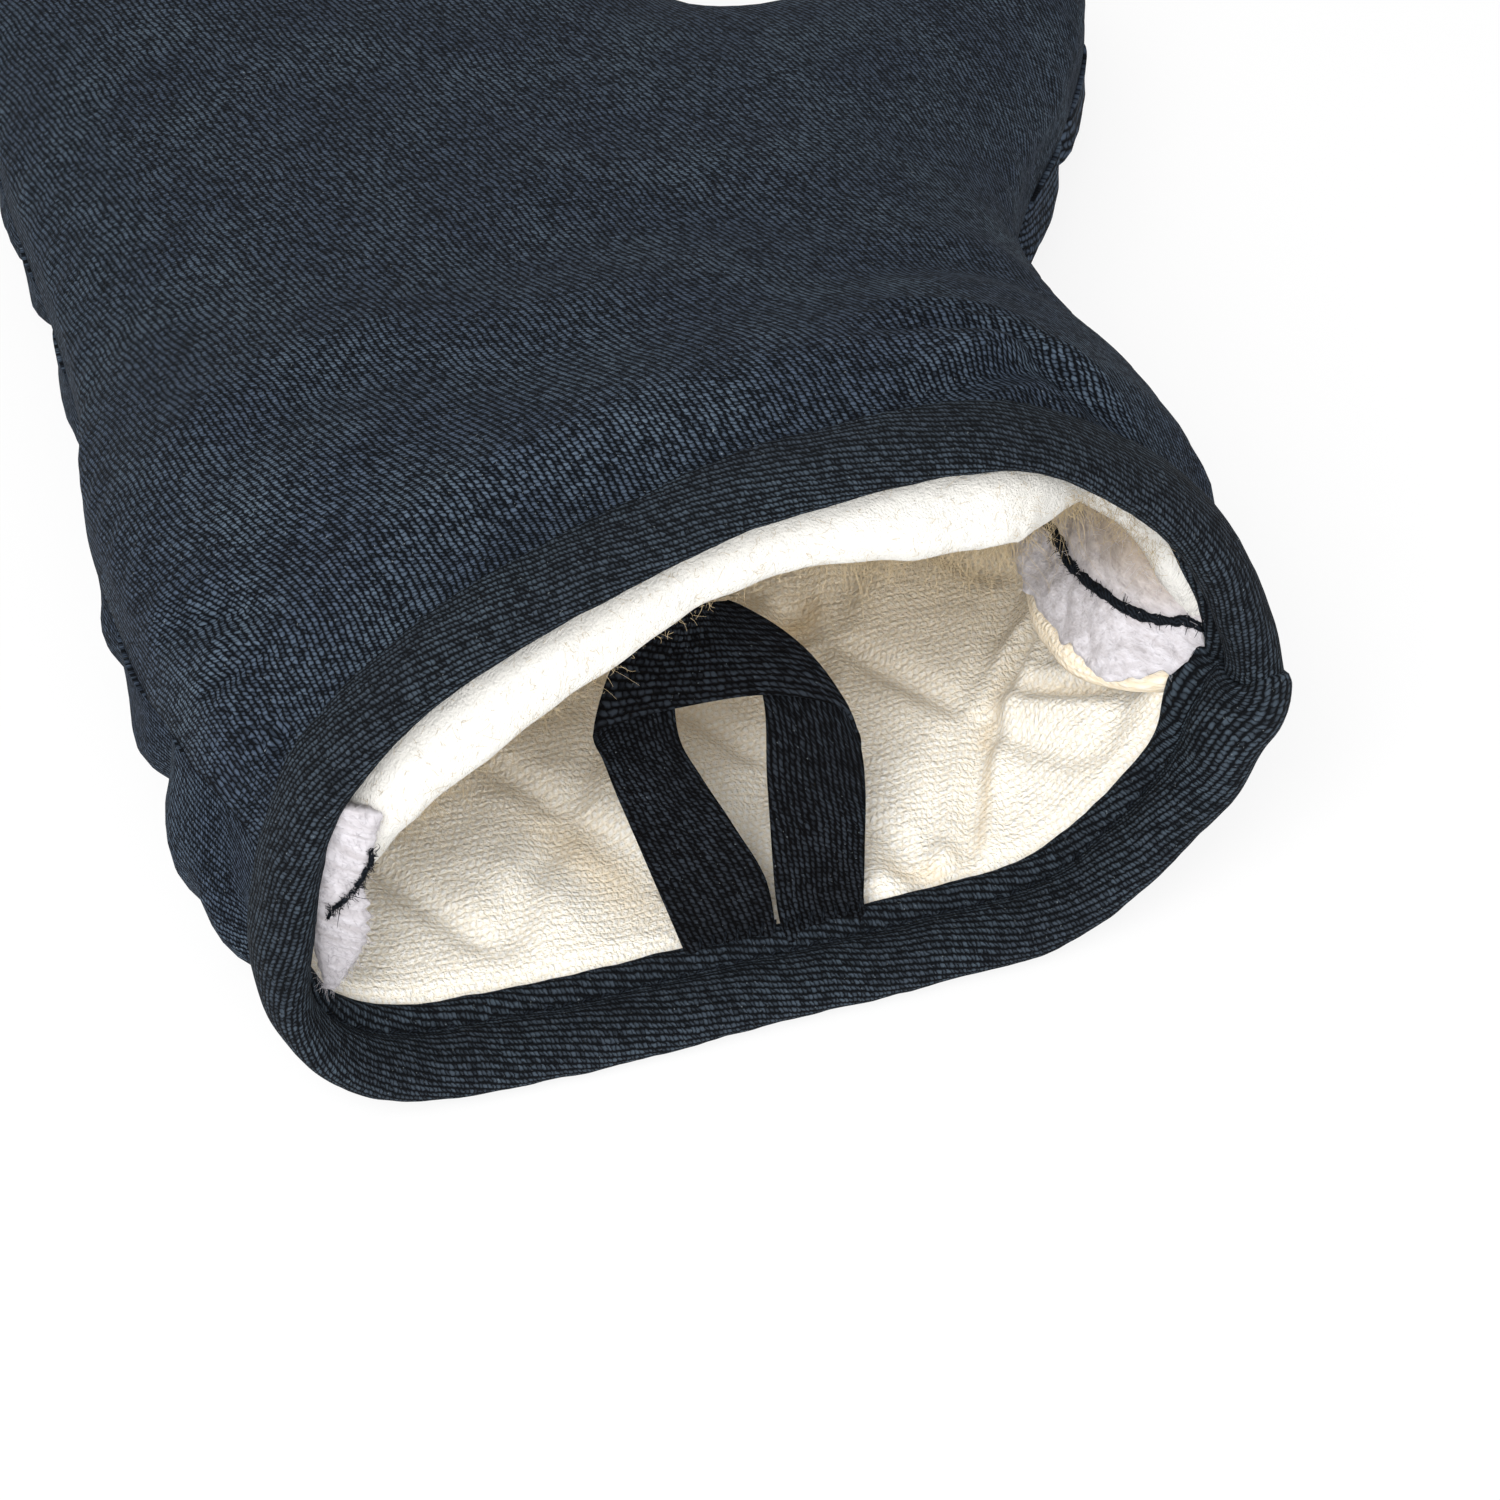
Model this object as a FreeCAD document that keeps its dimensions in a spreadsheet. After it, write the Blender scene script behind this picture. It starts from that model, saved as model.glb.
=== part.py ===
import FreeCAD, Part
import os

# Oven mitt lying on its palm, thumb to the right, mouth towards -Y.
# Units are millimetres and degrees. The origin is on the surface it lies on,
# under the middle of the palm. +X is towards the thumb, +Y towards the finger tips.

# ---------------------------------------------------------------- dimensions
MAIN_SIZES = {
    "mitt_length": 330.0,       # mouth to finger tips
    "palm_centre": 160.0,       # mouth to the point under the middle of the palm
    "cuff_lean": 19.0,          # the mouth's plane leans back from upright
    "seam_height": 33.0,        # side seam over the table at the mouth
    "seam_fall": 3.2,           # how steeply the seam comes down towards the tips
    "mouth_lift": 2.0,          # the cuff's sole over the table at the mouth
    "lift_length": 35.0,        # distance over which that lift runs out
    "shell_cloth": 1.0,         # cotton twill
    "wadding": 5.0,             # heat insulation
    "lining_cloth": 1.8,        # brushed terry
    "ply_gap": 0.2,             # air between two plies
    "binding_cloth": 1.2,       # folded bias strip
    "binding_width": 12.0,      # its width on each face of the cuff
    "thread": 0.7,              # sewing thread laid down
    "seam_groove": 1.0,         # opening between the two shells that the seam thread fills
    "quilt_wide": 31.0,         # one diamond, across the hand
    "quilt_long": 54.0,         # one diamond, along the hand
    "quilt_thread": 0.6,        # width of the quilting thread
    "quilt_side_gap": 0.15,     # room beside it in its groove
    "quilt_depth": 0.4,         # how deep the thread lies in the shell
    "quilt_start_x": -4.0,      # where two of its lines cross at the mouth
    "quilt_middle_x": -10.0,    # middle of the sole's flat stretch that it shows on
    "quilt_field_wide": 76.0,   # that stretch, across
    "quilt_from_mouth": 45.0,
    "quilt_from_tips": 75.0,
    "seam_edge_thick": 4.0,     # turned-in edge, all its plies sewn flat together
    "seam_edge_deep": 7.0,      # how far it stands into the mitt
    "seam_edge_length": 85.0,   # how far it runs in from the binding
    "overlock_inset": 2.0,      # overlock thread from the root of the turned-in edge
    "thumb_start_x": 22.0,      # where the thumb's centre line starts
    "thumb_start_along": 92.0,  # and how far that is from the mouth
    "thumb_angle": 36.0,        # between the thumb's centre line and the hand's
    "thumb_length": 150.0,      # along its centre line
    "tape_wide": 12.7,          # hanging loop's tape
    "tape_thick": 1.1,
    "loop_x": 5.0,              # middle of the loop
    "loop_lean": 44.0,          # the loop leans into the mouth at rest
    "loop_leg": 32.0,           # sewn end to the underside of the top, along a leg
    "loop_splay": 12.0,         # each leg leans outwards
    "loop_mitre": 40.0,         # slope of the folded corners
    "loop_mitre_foot": 0.5,     # where that slope starts, out from the leg's corner
    "loop_set_back": 1.5,       # hinge line from the binding's inner edge
    "loop_clearance": 0.5,      # between the tape and the binding under it
    "tack_set_back": 5.0,       # bar tack from the binding's inner edge
    "tack_wide": 26.0,          # bar tack across both ends of the tape
}

# These stations are measured from the mouth or from the thumb's root, and the others
# are measured back from the finger tips or from the thumb's tip.
FROM_START = ("mouth", "cuff", "wrist", "heel", "thumb_root")
# The hand: that distance, the reach to the left and right of the centre line, the top
# over the table, and how far the oval dips below it before the sole cuts it flat.
HAND_STATIONS = {
    "mouth": (-14.0, 71.0, 74.0, 78.0, 12.0),
    "cuff": (30.0, 74.0, 77.0, 75.0, 12.0),
    "wrist": (80.0, 75.0, 72.0, 66.0, 11.0),
    "heel": (130.0, 75.0, 62.0, 57.0, 10.0),
    "palm": (140.0, 74.0, 47.0, 50.0, 9.0),
    "finger": (80.0, 71.0, 42.0, 45.0, 8.0),
    "knuckle": (38.0, 63.0, 34.0, 41.0, 6.0),
    "nail": (14.0, 50.0, 21.0, 35.0, 2.0),
    "tip": (2.0, 34.0, 5.0, 28.0, -4.0),
}
HAND_MEASURES = ("left", "right", "top", "dip")
# The thumb: that distance along its own centre line, half its width, top and dip.
THUMB_STATIONS = {
    "thumb_root": (0.0, 30.0, 46.0, 8.0),
    "thumb_ball": (105.0, 30.0, 47.0, 8.0),
    "thumb_mid": (62.0, 29.0, 43.0, 7.0),
    "thumb_end": (28.0, 26.0, 37.0, 4.0),
    "thumb_nail": (11.0, 20.0, 32.0, 0.0),
    "thumb_tip": (2.0, 13.0, 27.0, -5.0),
}
THUMB_MEASURES = ("half", "top", "dip")
# Stations wide enough to be drawn in past the turned-in seam edges.
WIDE_STATIONS = ("mouth", "cuff", "wrist", "heel", "palm", "finger")
# A box that cuts with only one of its faces reaches this far past the mitt.
ROOM = 500.0

doc = FreeCAD.newDocument("oven_mitt")
sheet = doc.addObject("Spreadsheet::Sheet", "sizes")
finished = []


def fill_sheet():
    """Write every driving dimension into the sheet, one named cell each."""
    values = dict(MAIN_SIZES)
    for stations, measures in ((HAND_STATIONS, HAND_MEASURES), (THUMB_STATIONS, THUMB_MEASURES)):
        for station, numbers in stations.items():
            distance = "along" if station in FROM_START else "back"
            for measure, number in zip((distance,) + measures, numbers):
                values[station + "_" + measure] = number
    for row, (name, value) in enumerate(values.items(), start=1):
        sheet.set("A%d" % row, name)
        sheet.set("B%d" % row, repr(value))
        sheet.setAlias("B%d" % row, name)
    doc.recompute()


# ---------------------------------------------------------------- document helpers
def bound(kind, name, **expressions):
    """Add an object whose properties follow expressions; @word is the cell of that name."""
    item = doc.addObject(kind, name)
    for key, text in expressions.items():
        item.setExpression(key, text.replace("@", "sizes."))
    return item


def turn(axis, angle):
    """Rotation expression about one of the axes."""
    vectors = {"x": "1; 0; 0", "y": "0; 1; 0", "z": "0; 0; 1"}
    return "rotation(vector(%s); %s)" % (vectors[axis], angle)


def at(x, y, z, rotation=turn("z", "0")):
    """Placement expression: a point and a rotation there."""
    return "placement(vector(%s; %s; %s); %s)" % (x, y, z, rotation)


def pair(kind, name, base, tool):
    """A boolean of two objects, which keeps every edge where it was made."""
    result = doc.addObject(kind, name)
    result.Base = base
    result.Tool = tool
    result.Refine = False
    return result


def cut(name, base, tool):
    """The base without the tool."""
    return pair("Part::Cut", name, base, tool)


def common(name, first, *others):
    """What all the pieces share, found one piece at a time."""
    result = first
    for count, other in enumerate(others, start=1):
        step = name if count == len(others) else "%s_step%d" % (name, count)
        result = pair("Part::Common", step, result, other)
    return result


def fuse(name, *pieces):
    """All the pieces as one."""
    result = doc.addObject("Part::MultiFuse", name)
    result.Shapes = list(pieces)
    result.Refine = False
    return result


def finish(item, label):
    """Name a finished piece; its label names its file."""
    item.Label = label
    finished.append(item)
    return item


def half_space(name, place, side):
    """A box that fills one side of a plane through a placed point."""
    starts = {
        "above": (-ROOM, -ROOM, 0.0),
        "below": (-ROOM, -ROOM, -2 * ROOM),
        "behind": (-ROOM, 0.0, -ROOM),
        "before": (-ROOM, -2 * ROOM, -ROOM),
        "right": (0.0, -ROOM, -ROOM),
        "left": (-2 * ROOM, -ROOM, -ROOM),
    }
    box = bound("Part::Box", name, Placement=place + " * " + at(*starts[side]))
    box.Length = box.Width = box.Height = 2 * ROOM
    return box


# ---------------------------------------------------------------- planes of the mitt
def mouth_side(name, step, side="behind"):
    """Everything on one side of the mouth's leaning plane, moved in by the step."""
    plane = at("0", "-@palm_centre + (%s) / cos(@cuff_lean)" % step, "0", turn("x", "-@cuff_lean"))
    return half_space(name, plane, side)


def seam_side(name, step, side):
    """Everything above or below the side seam's plane, moved up by the step."""
    plane = at("0", "-@palm_centre", "@seam_height + (%s)" % step, turn("x", "-@seam_fall"))
    return half_space(name, plane, side)


def sole(form, inset):
    """Flat under the palm, and rising a little to the mouth."""
    flat = half_space(form + "_flat", at("0", "0", inset), "above")
    rise = turn("x", "-atan(@mouth_lift / @lift_length)")
    ramp = half_space(form + "_ramp", at("0", "@lift_length - @palm_centre", inset, rise), "above")
    return flat, ramp


# ---------------------------------------------------------------- forms of the mitt
def along(station, length, inset):
    """Distance from the start to a station, which an inset draws in with the tip."""
    distance = "@%s_along" if station in FROM_START else "(@" + length + " - @%s_back)"
    return "%s * (1 - (%s) / @%s)" % (distance % station, inset, length)


def hand_section(form, station, inset):
    """One oval section across the hand, drawn in by the inset."""
    here = {"s": station, "in": inset}
    return bound("Part::Ellipse", form + "_" + station,
                 MajorRadius="(@%(s)s_left + @%(s)s_right) / 2 - (%(in)s)" % here,
                 MinorRadius="(@%(s)s_top + @%(s)s_dip) / 2 - (%(in)s)" % here,
                 Placement=at("(@%(s)s_right - @%(s)s_left) / 2" % here,
                              along(station, "mitt_length", inset) + " - @palm_centre",
                              "(@%(s)s_top - @%(s)s_dip) / 2" % here, turn("x", "90")))


def thumb_section(form, station, inset):
    """One oval section across the thumb, square to the thumb's centre line."""
    here = {"s": station, "in": inset}
    step = along(station, "thumb_length", inset)
    return bound("Part::Ellipse", form + "_" + station,
                 MajorRadius="@%(s)s_half - (%(in)s)" % here,
                 MinorRadius="(@%(s)s_top + @%(s)s_dip) / 2 - (%(in)s)" % here,
                 Placement=at("@thumb_start_x + %s * sin(@thumb_angle)" % step,
                              "@thumb_start_along - @palm_centre + %s * cos(@thumb_angle)" % step,
                              "(@%(s)s_top - @%(s)s_dip) / 2" % here,
                              turn("z", "-@thumb_angle") + " * " + turn("x", "90")))


def loft(name, sections):
    """A smooth solid through the sections in order."""
    solid = doc.addObject("Part::Loft", name)
    solid.Sections = sections
    solid.Solid = True
    solid.Ruled = False
    return solid


def whole_form(name, inset):
    """The mitt's hand and thumb, drawn in by the inset."""
    hand = loft(name + "_hand", [hand_section(name, s, inset) for s in HAND_STATIONS])
    thumb = loft(name + "_thumb", [thumb_section(name, s, inset) for s in THUMB_STATIONS])
    return common(name, pair("Part::Fuse", name + "_both", hand, thumb), *sole(name, inset))


def cuff_form(name, inset, stations=tuple(HAND_STATIONS)):
    """The same form without its thumb, for the cuff's own pieces."""
    hand = loft(name + "_round", [hand_section(name, s, inset) for s in stations])
    return common(name, hand, *sole(name, inset))


# ---------------------------------------------------------------- plies, outside to inside
WADDING_OUT = "@shell_cloth + @ply_gap"
WADDING_IN = WADDING_OUT + " + @wadding"
LINING_OUT = WADDING_IN + " + @ply_gap"
LINING_IN = LINING_OUT + " + @lining_cloth"
INSIDE_LINING = LINING_IN + " + @ply_gap"
BINDING_INSIDE = INSIDE_LINING + " + @binding_cloth"


def make_plies():
    """Shell, batting and lining, each a back half and a palm half."""
    outside = whole_form("shell_outside", "0")
    shell = cut("shell", outside, whole_form("shell_inside", "@shell_cloth"))
    batting = cut("batting", whole_form("batting_outside", WADDING_OUT),
                  whole_form("batting_inside", WADDING_IN))
    lining = cut("lining", whole_form("lining_outside", LINING_OUT), whole_form("hollow", LINING_IN))
    raw_edge = mouth_side("raw_edge", "@ply_gap")
    above = seam_side("ply_above", "@ply_gap / 2", "above")
    below = seam_side("ply_below", "-@ply_gap / 2", "below")
    finish(common("back_batting_body", batting, above, raw_edge), "back_batting")
    finish(common("palm_batting_body", batting, below, raw_edge), "palm_batting")
    finish(common("back_lining_body", lining, above, raw_edge), "back_lining")
    finish(common("palm_lining_body", lining, below, raw_edge), "palm_lining")

    shell_above = seam_side("shell_above", "@seam_groove / 2", "above")
    shell_below = seam_side("shell_below", "-@seam_groove / 2", "below")
    finish(common("back_shell_body", shell, shell_above, raw_edge), "back_shell")
    plain_palm = common("plain_palm", shell, shell_below, raw_edge)

    past_binding = mouth_side("past_binding", "@binding_width + 2 * @ply_gap + @thread")
    finish(common("seam_thread_body", shell, past_binding,
                  seam_side("seam_thread_top", "@thread / 2", "below"),
                  seam_side("seam_thread_foot", "-@thread / 2", "above")), "perimeter_seam_thread")

    make_quilting(plain_palm)


# ---------------------------------------------------------------- quilting of the palm
def lattice(name, width, margin, depth):
    """Strips along both diagonals of the quilting, over the flat middle of the sole."""
    strips = []
    last = int(MAIN_SIZES["mitt_length"] / MAIN_SIZES["quilt_long"]) + 1
    for way, word in ((1, "right"), (-1, "left")):
        # The lines that lean to the right start at the left of the mouth, and the others opposite.
        for row in range(-1, last + 1):
            slope = "%d * atan(@quilt_wide / @quilt_long)" % -way
            start = at("@quilt_start_x - %d * @quilt_wide" % (way * row), "-@palm_centre",
                       "-(%s)" % depth, turn("z", slope))
            strip = bound("Part::Box", "%s_%s_%d" % (name, word, row + 1), Length=width,
                          Height="2 * (%s)" % depth,
                          Placement=start + " * " + at("-(%s) / 2" % width, "0", "0"))
            strip.Width = ROOM
            strips.append(strip)
    reach = {"in": margin}
    field = bound("Part::Box", name + "_field", Length="@quilt_field_wide + 2 * (%(in)s)" % reach,
                  Width="@mitt_length - @quilt_from_mouth - @quilt_from_tips + 2 * (%(in)s)" % reach,
                  Height=depth,
                  Placement=at("@quilt_middle_x - @quilt_field_wide / 2 - (%(in)s)" % reach,
                               "@quilt_from_mouth - @palm_centre - (%(in)s)" % reach, "0"))
    return common(name, fuse(name + "_strips", *strips), field)


def make_quilting(plain_palm):
    """White thread along the diamonds, in grooves that it pulls into the palm shell."""
    groove = "@quilt_thread + 2 * @quilt_side_gap"
    grooves = lattice("grooves", groove, "@quilt_side_gap", "@quilt_depth + @ply_gap / 2")
    finish(cut("palm_shell_body", plain_palm, grooves), "palm_shell")
    finish(lattice("quilting_body", "@quilt_thread", "0", "@quilt_depth"), "palm_quilting_thread")


# ---------------------------------------------------------------- cuff
def make_binding():
    """The bias strip folded over the raw edges, and the stitching along its outer edge."""
    folded = cut("folded", cuff_form("binding_outside", "-@ply_gap - @binding_cloth"),
                 cuff_form("binding_inside", BINDING_INSIDE))
    slot = cut("slot", cuff_form("slot_outside", "-@ply_gap"), cuff_form("slot_inside", INSIDE_LINING))
    outer = common("binding_block", folded, mouth_side("binding_fold", "-@binding_cloth"),
                   mouth_side("binding_edge", "@binding_width", "before"),
                   half_space("table", at("0", "0", "0"), "above"))
    inner = common("binding_slot", slot, mouth_side("slot_fold", "0"))
    finish(cut("binding_body", outer, inner), "cuff_binding")

    laid = cut("laid", cuff_form("stitch_outside", "-@ply_gap / 2 - @thread"),
               cuff_form("stitch_inside", "-@ply_gap / 2"))
    finish(common("stitching_body", laid, mouth_side("stitch_start", "@binding_width + @ply_gap"),
                  mouth_side("stitch_end", "@binding_width + @ply_gap + @thread", "before"),
                  half_space("stitch_table", at("0", "0", "0"), "above")), "binding_stitching")


def make_seam_edges():
    """The turned-in side seams just inside the mouth, with their overlock threads."""
    edge = cut("edge_ring", cuff_form("edge_root", INSIDE_LINING),
               cuff_form("edge_end", INSIDE_LINING + " + @seam_edge_deep", WIDE_STATIONS))
    thread_root = INSIDE_LINING + " + @overlock_inset"
    laid = cut("overlock_ring", cuff_form("overlock_root", thread_root),
               cuff_form("overlock_end", thread_root + " + @thread"))
    start = mouth_side("edge_start", "@binding_width + @ply_gap")
    stop = mouth_side("edge_stop", "@binding_width + @seam_edge_length", "before")
    edge_top = seam_side("edge_top", "@seam_edge_thick / 2", "below")
    edge_foot = seam_side("edge_foot", "-@seam_edge_thick / 2", "above")
    thread_top = seam_side("overlock_top", "@seam_edge_thick / 2 + @ply_gap / 2 + @thread", "below")
    thread_foot = seam_side("overlock_foot", "@seam_edge_thick / 2 + @ply_gap / 2", "above")
    for word, side in (("thumb_side", "right"), ("little_finger_side", "left")):
        half = half_space(word + "_half", at("0", "0", "0"), side)
        finish(common(word + "_edge_body", edge, half, start, stop, edge_top, edge_foot),
               word + "_seam_edge")
        finish(common(word + "_overlock_body", laid, half, start, stop, thread_top, thread_foot),
               word + "_overlock_thread")


# ---------------------------------------------------------------- hanging loop
# Top of the binding's inner face under the loop, and the line that the loop turns on.
FLAP_EDGE = "(-@palm_centre + @binding_width / cos(@cuff_lean) + (%s) * tan(@cuff_lean))" % BINDING_INSIDE
FLAP_SLOPE = "atan(@mouth_lift / @lift_length)"
TOP_AT_EDGE = "(%s + @mouth_lift - (%s + @palm_centre) * tan(%s))" % (BINDING_INSIDE, FLAP_EDGE, FLAP_SLOPE)
HINGE_Y = "(%s - @loop_set_back)" % FLAP_EDGE
HINGE_Z = "(%s + @loop_set_back * tan(%s) + @loop_clearance + @tape_thick / 2)" % (TOP_AT_EDGE, FLAP_SLOPE)


def make_loop():
    """Tape folded to a mitred loop: two legs and a top lying across them."""
    plane = at("@loop_x", HINGE_Y, HINGE_Z, turn("x", "-@loop_lean"))
    legs = []
    for word, way in (("left", -1), ("right", 1)):
        foot = at("%d * @tape_wide / 2" % way, "0", "0", turn("y", "%d * @loop_splay" % way))
        corner = at("-@tape_wide / 2", "-@tape_thick / 2", "0")
        legs.append(bound("Part::Box", word + "_leg", Length="@tape_wide", Width="@tape_thick",
                          Height="@loop_leg + @tape_wide / 2",
                          Placement=" * ".join((plane, foot, corner))))
    sewn_ends = bound("Part::Box", "sewn_ends", Length="2 * @tape_wide", Width="@tape_thick",
                      Height="2 * @tape_thick",
                      Placement=plane + " * " + at("-@tape_wide", "-@tape_thick / 2", "-@tape_thick / 2"))
    # The top lies in front of the legs and takes in their thickness, so that they are one tape.
    shoulder = "(@tape_wide + @loop_leg * tan(@loop_splay) + @ply_gap)"
    top_foot = "@loop_leg * cos(@loop_splay)"
    top = bound("Part::Box", "loop_top", Length="2 * " + shoulder, Width="@tape_thick + @tape_thick",
                Height="@tape_wide",
                Placement=plane + " * " + at("-" + shoulder, "-@tape_thick - @tape_thick / 2", top_foot))
    whole = fuse("loop_whole", sewn_ends, top, *legs)
    corners = []
    for word, way in (("left", -1), ("right", 1)):
        fold = at("%d * (%s + @loop_mitre_foot)" % (way, shoulder), "0", top_foot,
                  turn("y", "%d * @loop_mitre" % -way))
        corners.append(half_space(word + "_corner", plane + " * " + fold, word))
    level = half_space("loop_foot", plane + " * " + at("0", "0", "-@tape_thick / 2"), "above")
    finish(common("loop_body", cut("mitred", whole, fuse("corners", *corners)), level), "hanging_loop")

    tack = at("@loop_x", "%s - @tack_set_back" % FLAP_EDGE,
              "%s + @tack_set_back * tan(%s) + @ply_gap / 2" % (TOP_AT_EDGE, FLAP_SLOPE),
              turn("x", "-" + FLAP_SLOPE))
    finish(bound("Part::Box", "tack_body", Length="@tack_wide", Width="@thread", Height="@thread",
                 Placement=tack + " * " + at("-@tack_wide / 2", "-@thread", "0")), "loop_bar_tack")


def check_and_export():
    """Stop if anything failed, then write one file for each finished piece."""
    for item in doc.Objects:
        if "Invalid" in item.State or "Error" in item.State:
            raise RuntimeError("%s did not build" % item.Name)
    for item in finished:
        if item.Shape.isNull() or not item.Shape.isValid():
            raise RuntimeError("%s has no valid shape" % item.Label)
    os.makedirs("parts", exist_ok=True)
    for item in finished:
        item.Shape.exportStep("parts/%s.step" % item.Label)
        print("%-28s %d solids %10.2f mm3" % (item.Label, len(item.Shape.Solids), item.Shape.Volume))


fill_sheet()
make_plies()
make_binding()
make_seam_edges()
make_loop()
doc.recompute()
check_and_export()
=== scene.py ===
"""Looks of a padded oven mitt that lies on its palm with its bound mouth open.

The mitt is sewn from three plies, so the script cuts the same three: a cotton twill shell, a
wadding and a terry lining, each a back panel and a palm panel. Each panel is meshed flat inside
the pattern's outline, raised the way a stuffed panel rises, and drawn onto the oval rim that
the binding holds open. The binding, the hanging loop, the turned-in seam edges and the threads
are swept or stitched onto those surfaces. Sizes are millimetres until a mesh is made.
"""

import logging
import math
from dataclasses import dataclass, field
from enum import Enum
from functools import partial
from typing import Callable, Sequence

import bpy
import numpy as np
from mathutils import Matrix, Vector, noise
from mathutils.bvhtree import BVHTree
from mathutils.geometry import delaunay_2d_cdt
from mathutils.kdtree import KDTree


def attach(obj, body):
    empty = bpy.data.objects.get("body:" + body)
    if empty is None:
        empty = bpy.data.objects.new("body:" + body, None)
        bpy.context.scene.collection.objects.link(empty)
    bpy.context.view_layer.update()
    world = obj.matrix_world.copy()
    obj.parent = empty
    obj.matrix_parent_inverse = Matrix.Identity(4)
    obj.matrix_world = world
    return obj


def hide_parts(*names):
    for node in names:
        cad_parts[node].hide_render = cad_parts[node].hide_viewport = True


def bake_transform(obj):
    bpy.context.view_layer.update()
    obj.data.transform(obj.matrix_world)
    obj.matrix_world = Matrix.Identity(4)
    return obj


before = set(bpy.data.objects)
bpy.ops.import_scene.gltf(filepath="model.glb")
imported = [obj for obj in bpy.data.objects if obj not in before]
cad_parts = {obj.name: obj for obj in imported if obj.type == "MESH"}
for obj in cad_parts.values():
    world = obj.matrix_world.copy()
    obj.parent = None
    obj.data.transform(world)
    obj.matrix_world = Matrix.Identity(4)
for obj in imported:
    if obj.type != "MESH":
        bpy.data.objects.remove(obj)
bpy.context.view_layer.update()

LOG = logging.getLogger("oven_mitt")
MM = 0.001
TABLE_GAP = 0.25        # height of the twill where it lies on the table, in millimetres
CLOTH = "cloth_mm"      # point attribute: where a point lies on its flat cloth, in millimetres
NAP = "nap"             # point attribute: 0 where a surface is woven or looped, 1 where it is brushed
SHADE = "shade"         # point attribute: painted shade, 0 in the open, 1 deep inside the mitt or in a crease; on the seam edges' wadding it carries a beige tint instead

Array = np.ndarray
Socket = bpy.types.NodeSocket
Value = Socket | float | tuple
AddNode = Callable[..., Socket]          # add_node for one node tree
Look = tuple[Socket, Socket, float]      # a finish's colour, height and relief
Material = bpy.types.Material
Profile = Callable[[Array, Array, Array], tuple[Array, Array]]
Line2 = tuple[tuple[float, float], ...]
Line3 = tuple[tuple[float, float, float], ...]


class Side(Enum):
    """The two panels that every ply is sewn from."""

    BACK = "back"
    PALM = "palm"


# ---- small geometry
def spline(points: Sequence[Sequence[float]], closed: bool, steps: int = 12) -> Array:
    """Samples a smooth curve through points.

    Args:
        points: Points of any dimension.
        closed: Whether the curve runs back to its start.
        steps: Samples from one point to the next.

    Returns:
        The samples, one row each; an open curve keeps its last point.
    """
    p = np.asarray(points, float)
    first, last = (p[-1:], p[:2]) if closed else (2 * p[:1] - p[1:2], 2 * p[-1:] - p[-2:-1])
    padded = np.vstack([first, p, last])
    t = np.linspace(0, 1, steps, endpoint=False)[:, None]
    rows = [0.5 * (2 * b + (c - a) * t + (2 * a - 5 * b + 4 * c - d) * t ** 2
                   + (3 * b - a - 3 * c + d) * t ** 3)
            for a, b, c, d in zip(padded, padded[1:], padded[2:], padded[3:])]
    return np.vstack(rows if closed else rows + [p[-1:]])


def lengths(points: Array) -> Array:
    """Distance along a line of points, one number for each."""
    return np.concatenate([[0.0], np.cumsum(np.linalg.norm(np.diff(points, axis=0), axis=1))])


def unit(rows: Array, least: float = 1e-12) -> Array:
    """Vectors of length 1, except those shorter than least, which stay short."""
    return rows / np.maximum(np.linalg.norm(rows, axis=-1, keepdims=True), least)


def turned(rows: Array) -> Array:
    """Vectors of the plane turned a quarter clockwise."""
    return np.stack([rows[..., 1], -rows[..., 0]], -1)


def evenly(points: Array, count: int) -> Array:
    """The same line as count points, evenly spaced."""
    along = lengths(points)
    return np.stack([np.interp(np.linspace(0, along[-1], count), along, row) for row in points.T], 1)


def read_curve(points: Line2, at: Array) -> Array:
    """Heights of a smooth curve through points at places along it."""
    line = spline(points, False)
    return np.interp(at, line[:, 0], line[:, 1])


def smooth(low: float, high: float, value: Array) -> Array:
    """A soft step from 0 at low to 1 at high."""
    t = np.clip((np.asarray(value, float) - low) / (high - low), 0, 1)
    return t * t * (3 - 2 * t)


def hump(offset: Array, wide: float) -> Array:
    """A soft hump: 1 where offset is 0, falling away over about wide on either side."""
    return np.exp(-(offset / wide) ** 2)


def ripple(points: Array, size: float, seed: float) -> Array:
    """Soft noise from -1 to 1 whose lumps are about size millimetres across."""
    return np.array([noise.noise(Vector((p[0] / size, p[1] / size, p[2] / size + seed))) for p in points])


def nearest_on_line(points: Array, line: Array) -> tuple[Array, Array]:
    """How far points are from a line, and how far along it they come nearest.

    Args:
        points: The points, one row each, in two dimensions.
        line: The line's points in order.

    Returns:
        The distances, and the lengths along the line.
    """
    a, b = line[:-1], line[1:]
    step = b - a
    along = lengths(line)
    best = np.full(len(points), np.inf)
    where = np.zeros(len(points))
    for i in range(len(a)):
        t = np.clip(((points - a[i]) @ step[i]) / max(step[i] @ step[i], 1e-12), 0, 1)
        gap = np.linalg.norm(points - a[i] - t[:, None] * step[i], axis=1)
        nearer = gap < best
        best[nearer] = gap[nearer]
        where[nearer] = (along[i] + t * (along[i + 1] - along[i]))[nearer]
    return best, where


def inside(points: Array, polygon: Array) -> Array:
    """Which points lie inside a closed polygon.

    Args:
        points: The points, one row each.
        polygon: Its corners in order.

    Returns:
        A truth value for each point.
    """
    x, y = points[:, 0], points[:, 1]
    result = np.zeros(len(points), bool)
    for (ax, ay), (bx, by) in zip(polygon, np.roll(polygon, -1, axis=0)):
        crosses = (ay > y) != (by > y)
        if ay != by:
            result ^= crosses & (x < (bx - ax) * (y - ay) / (by - ay) + ax)
    return result


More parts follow.
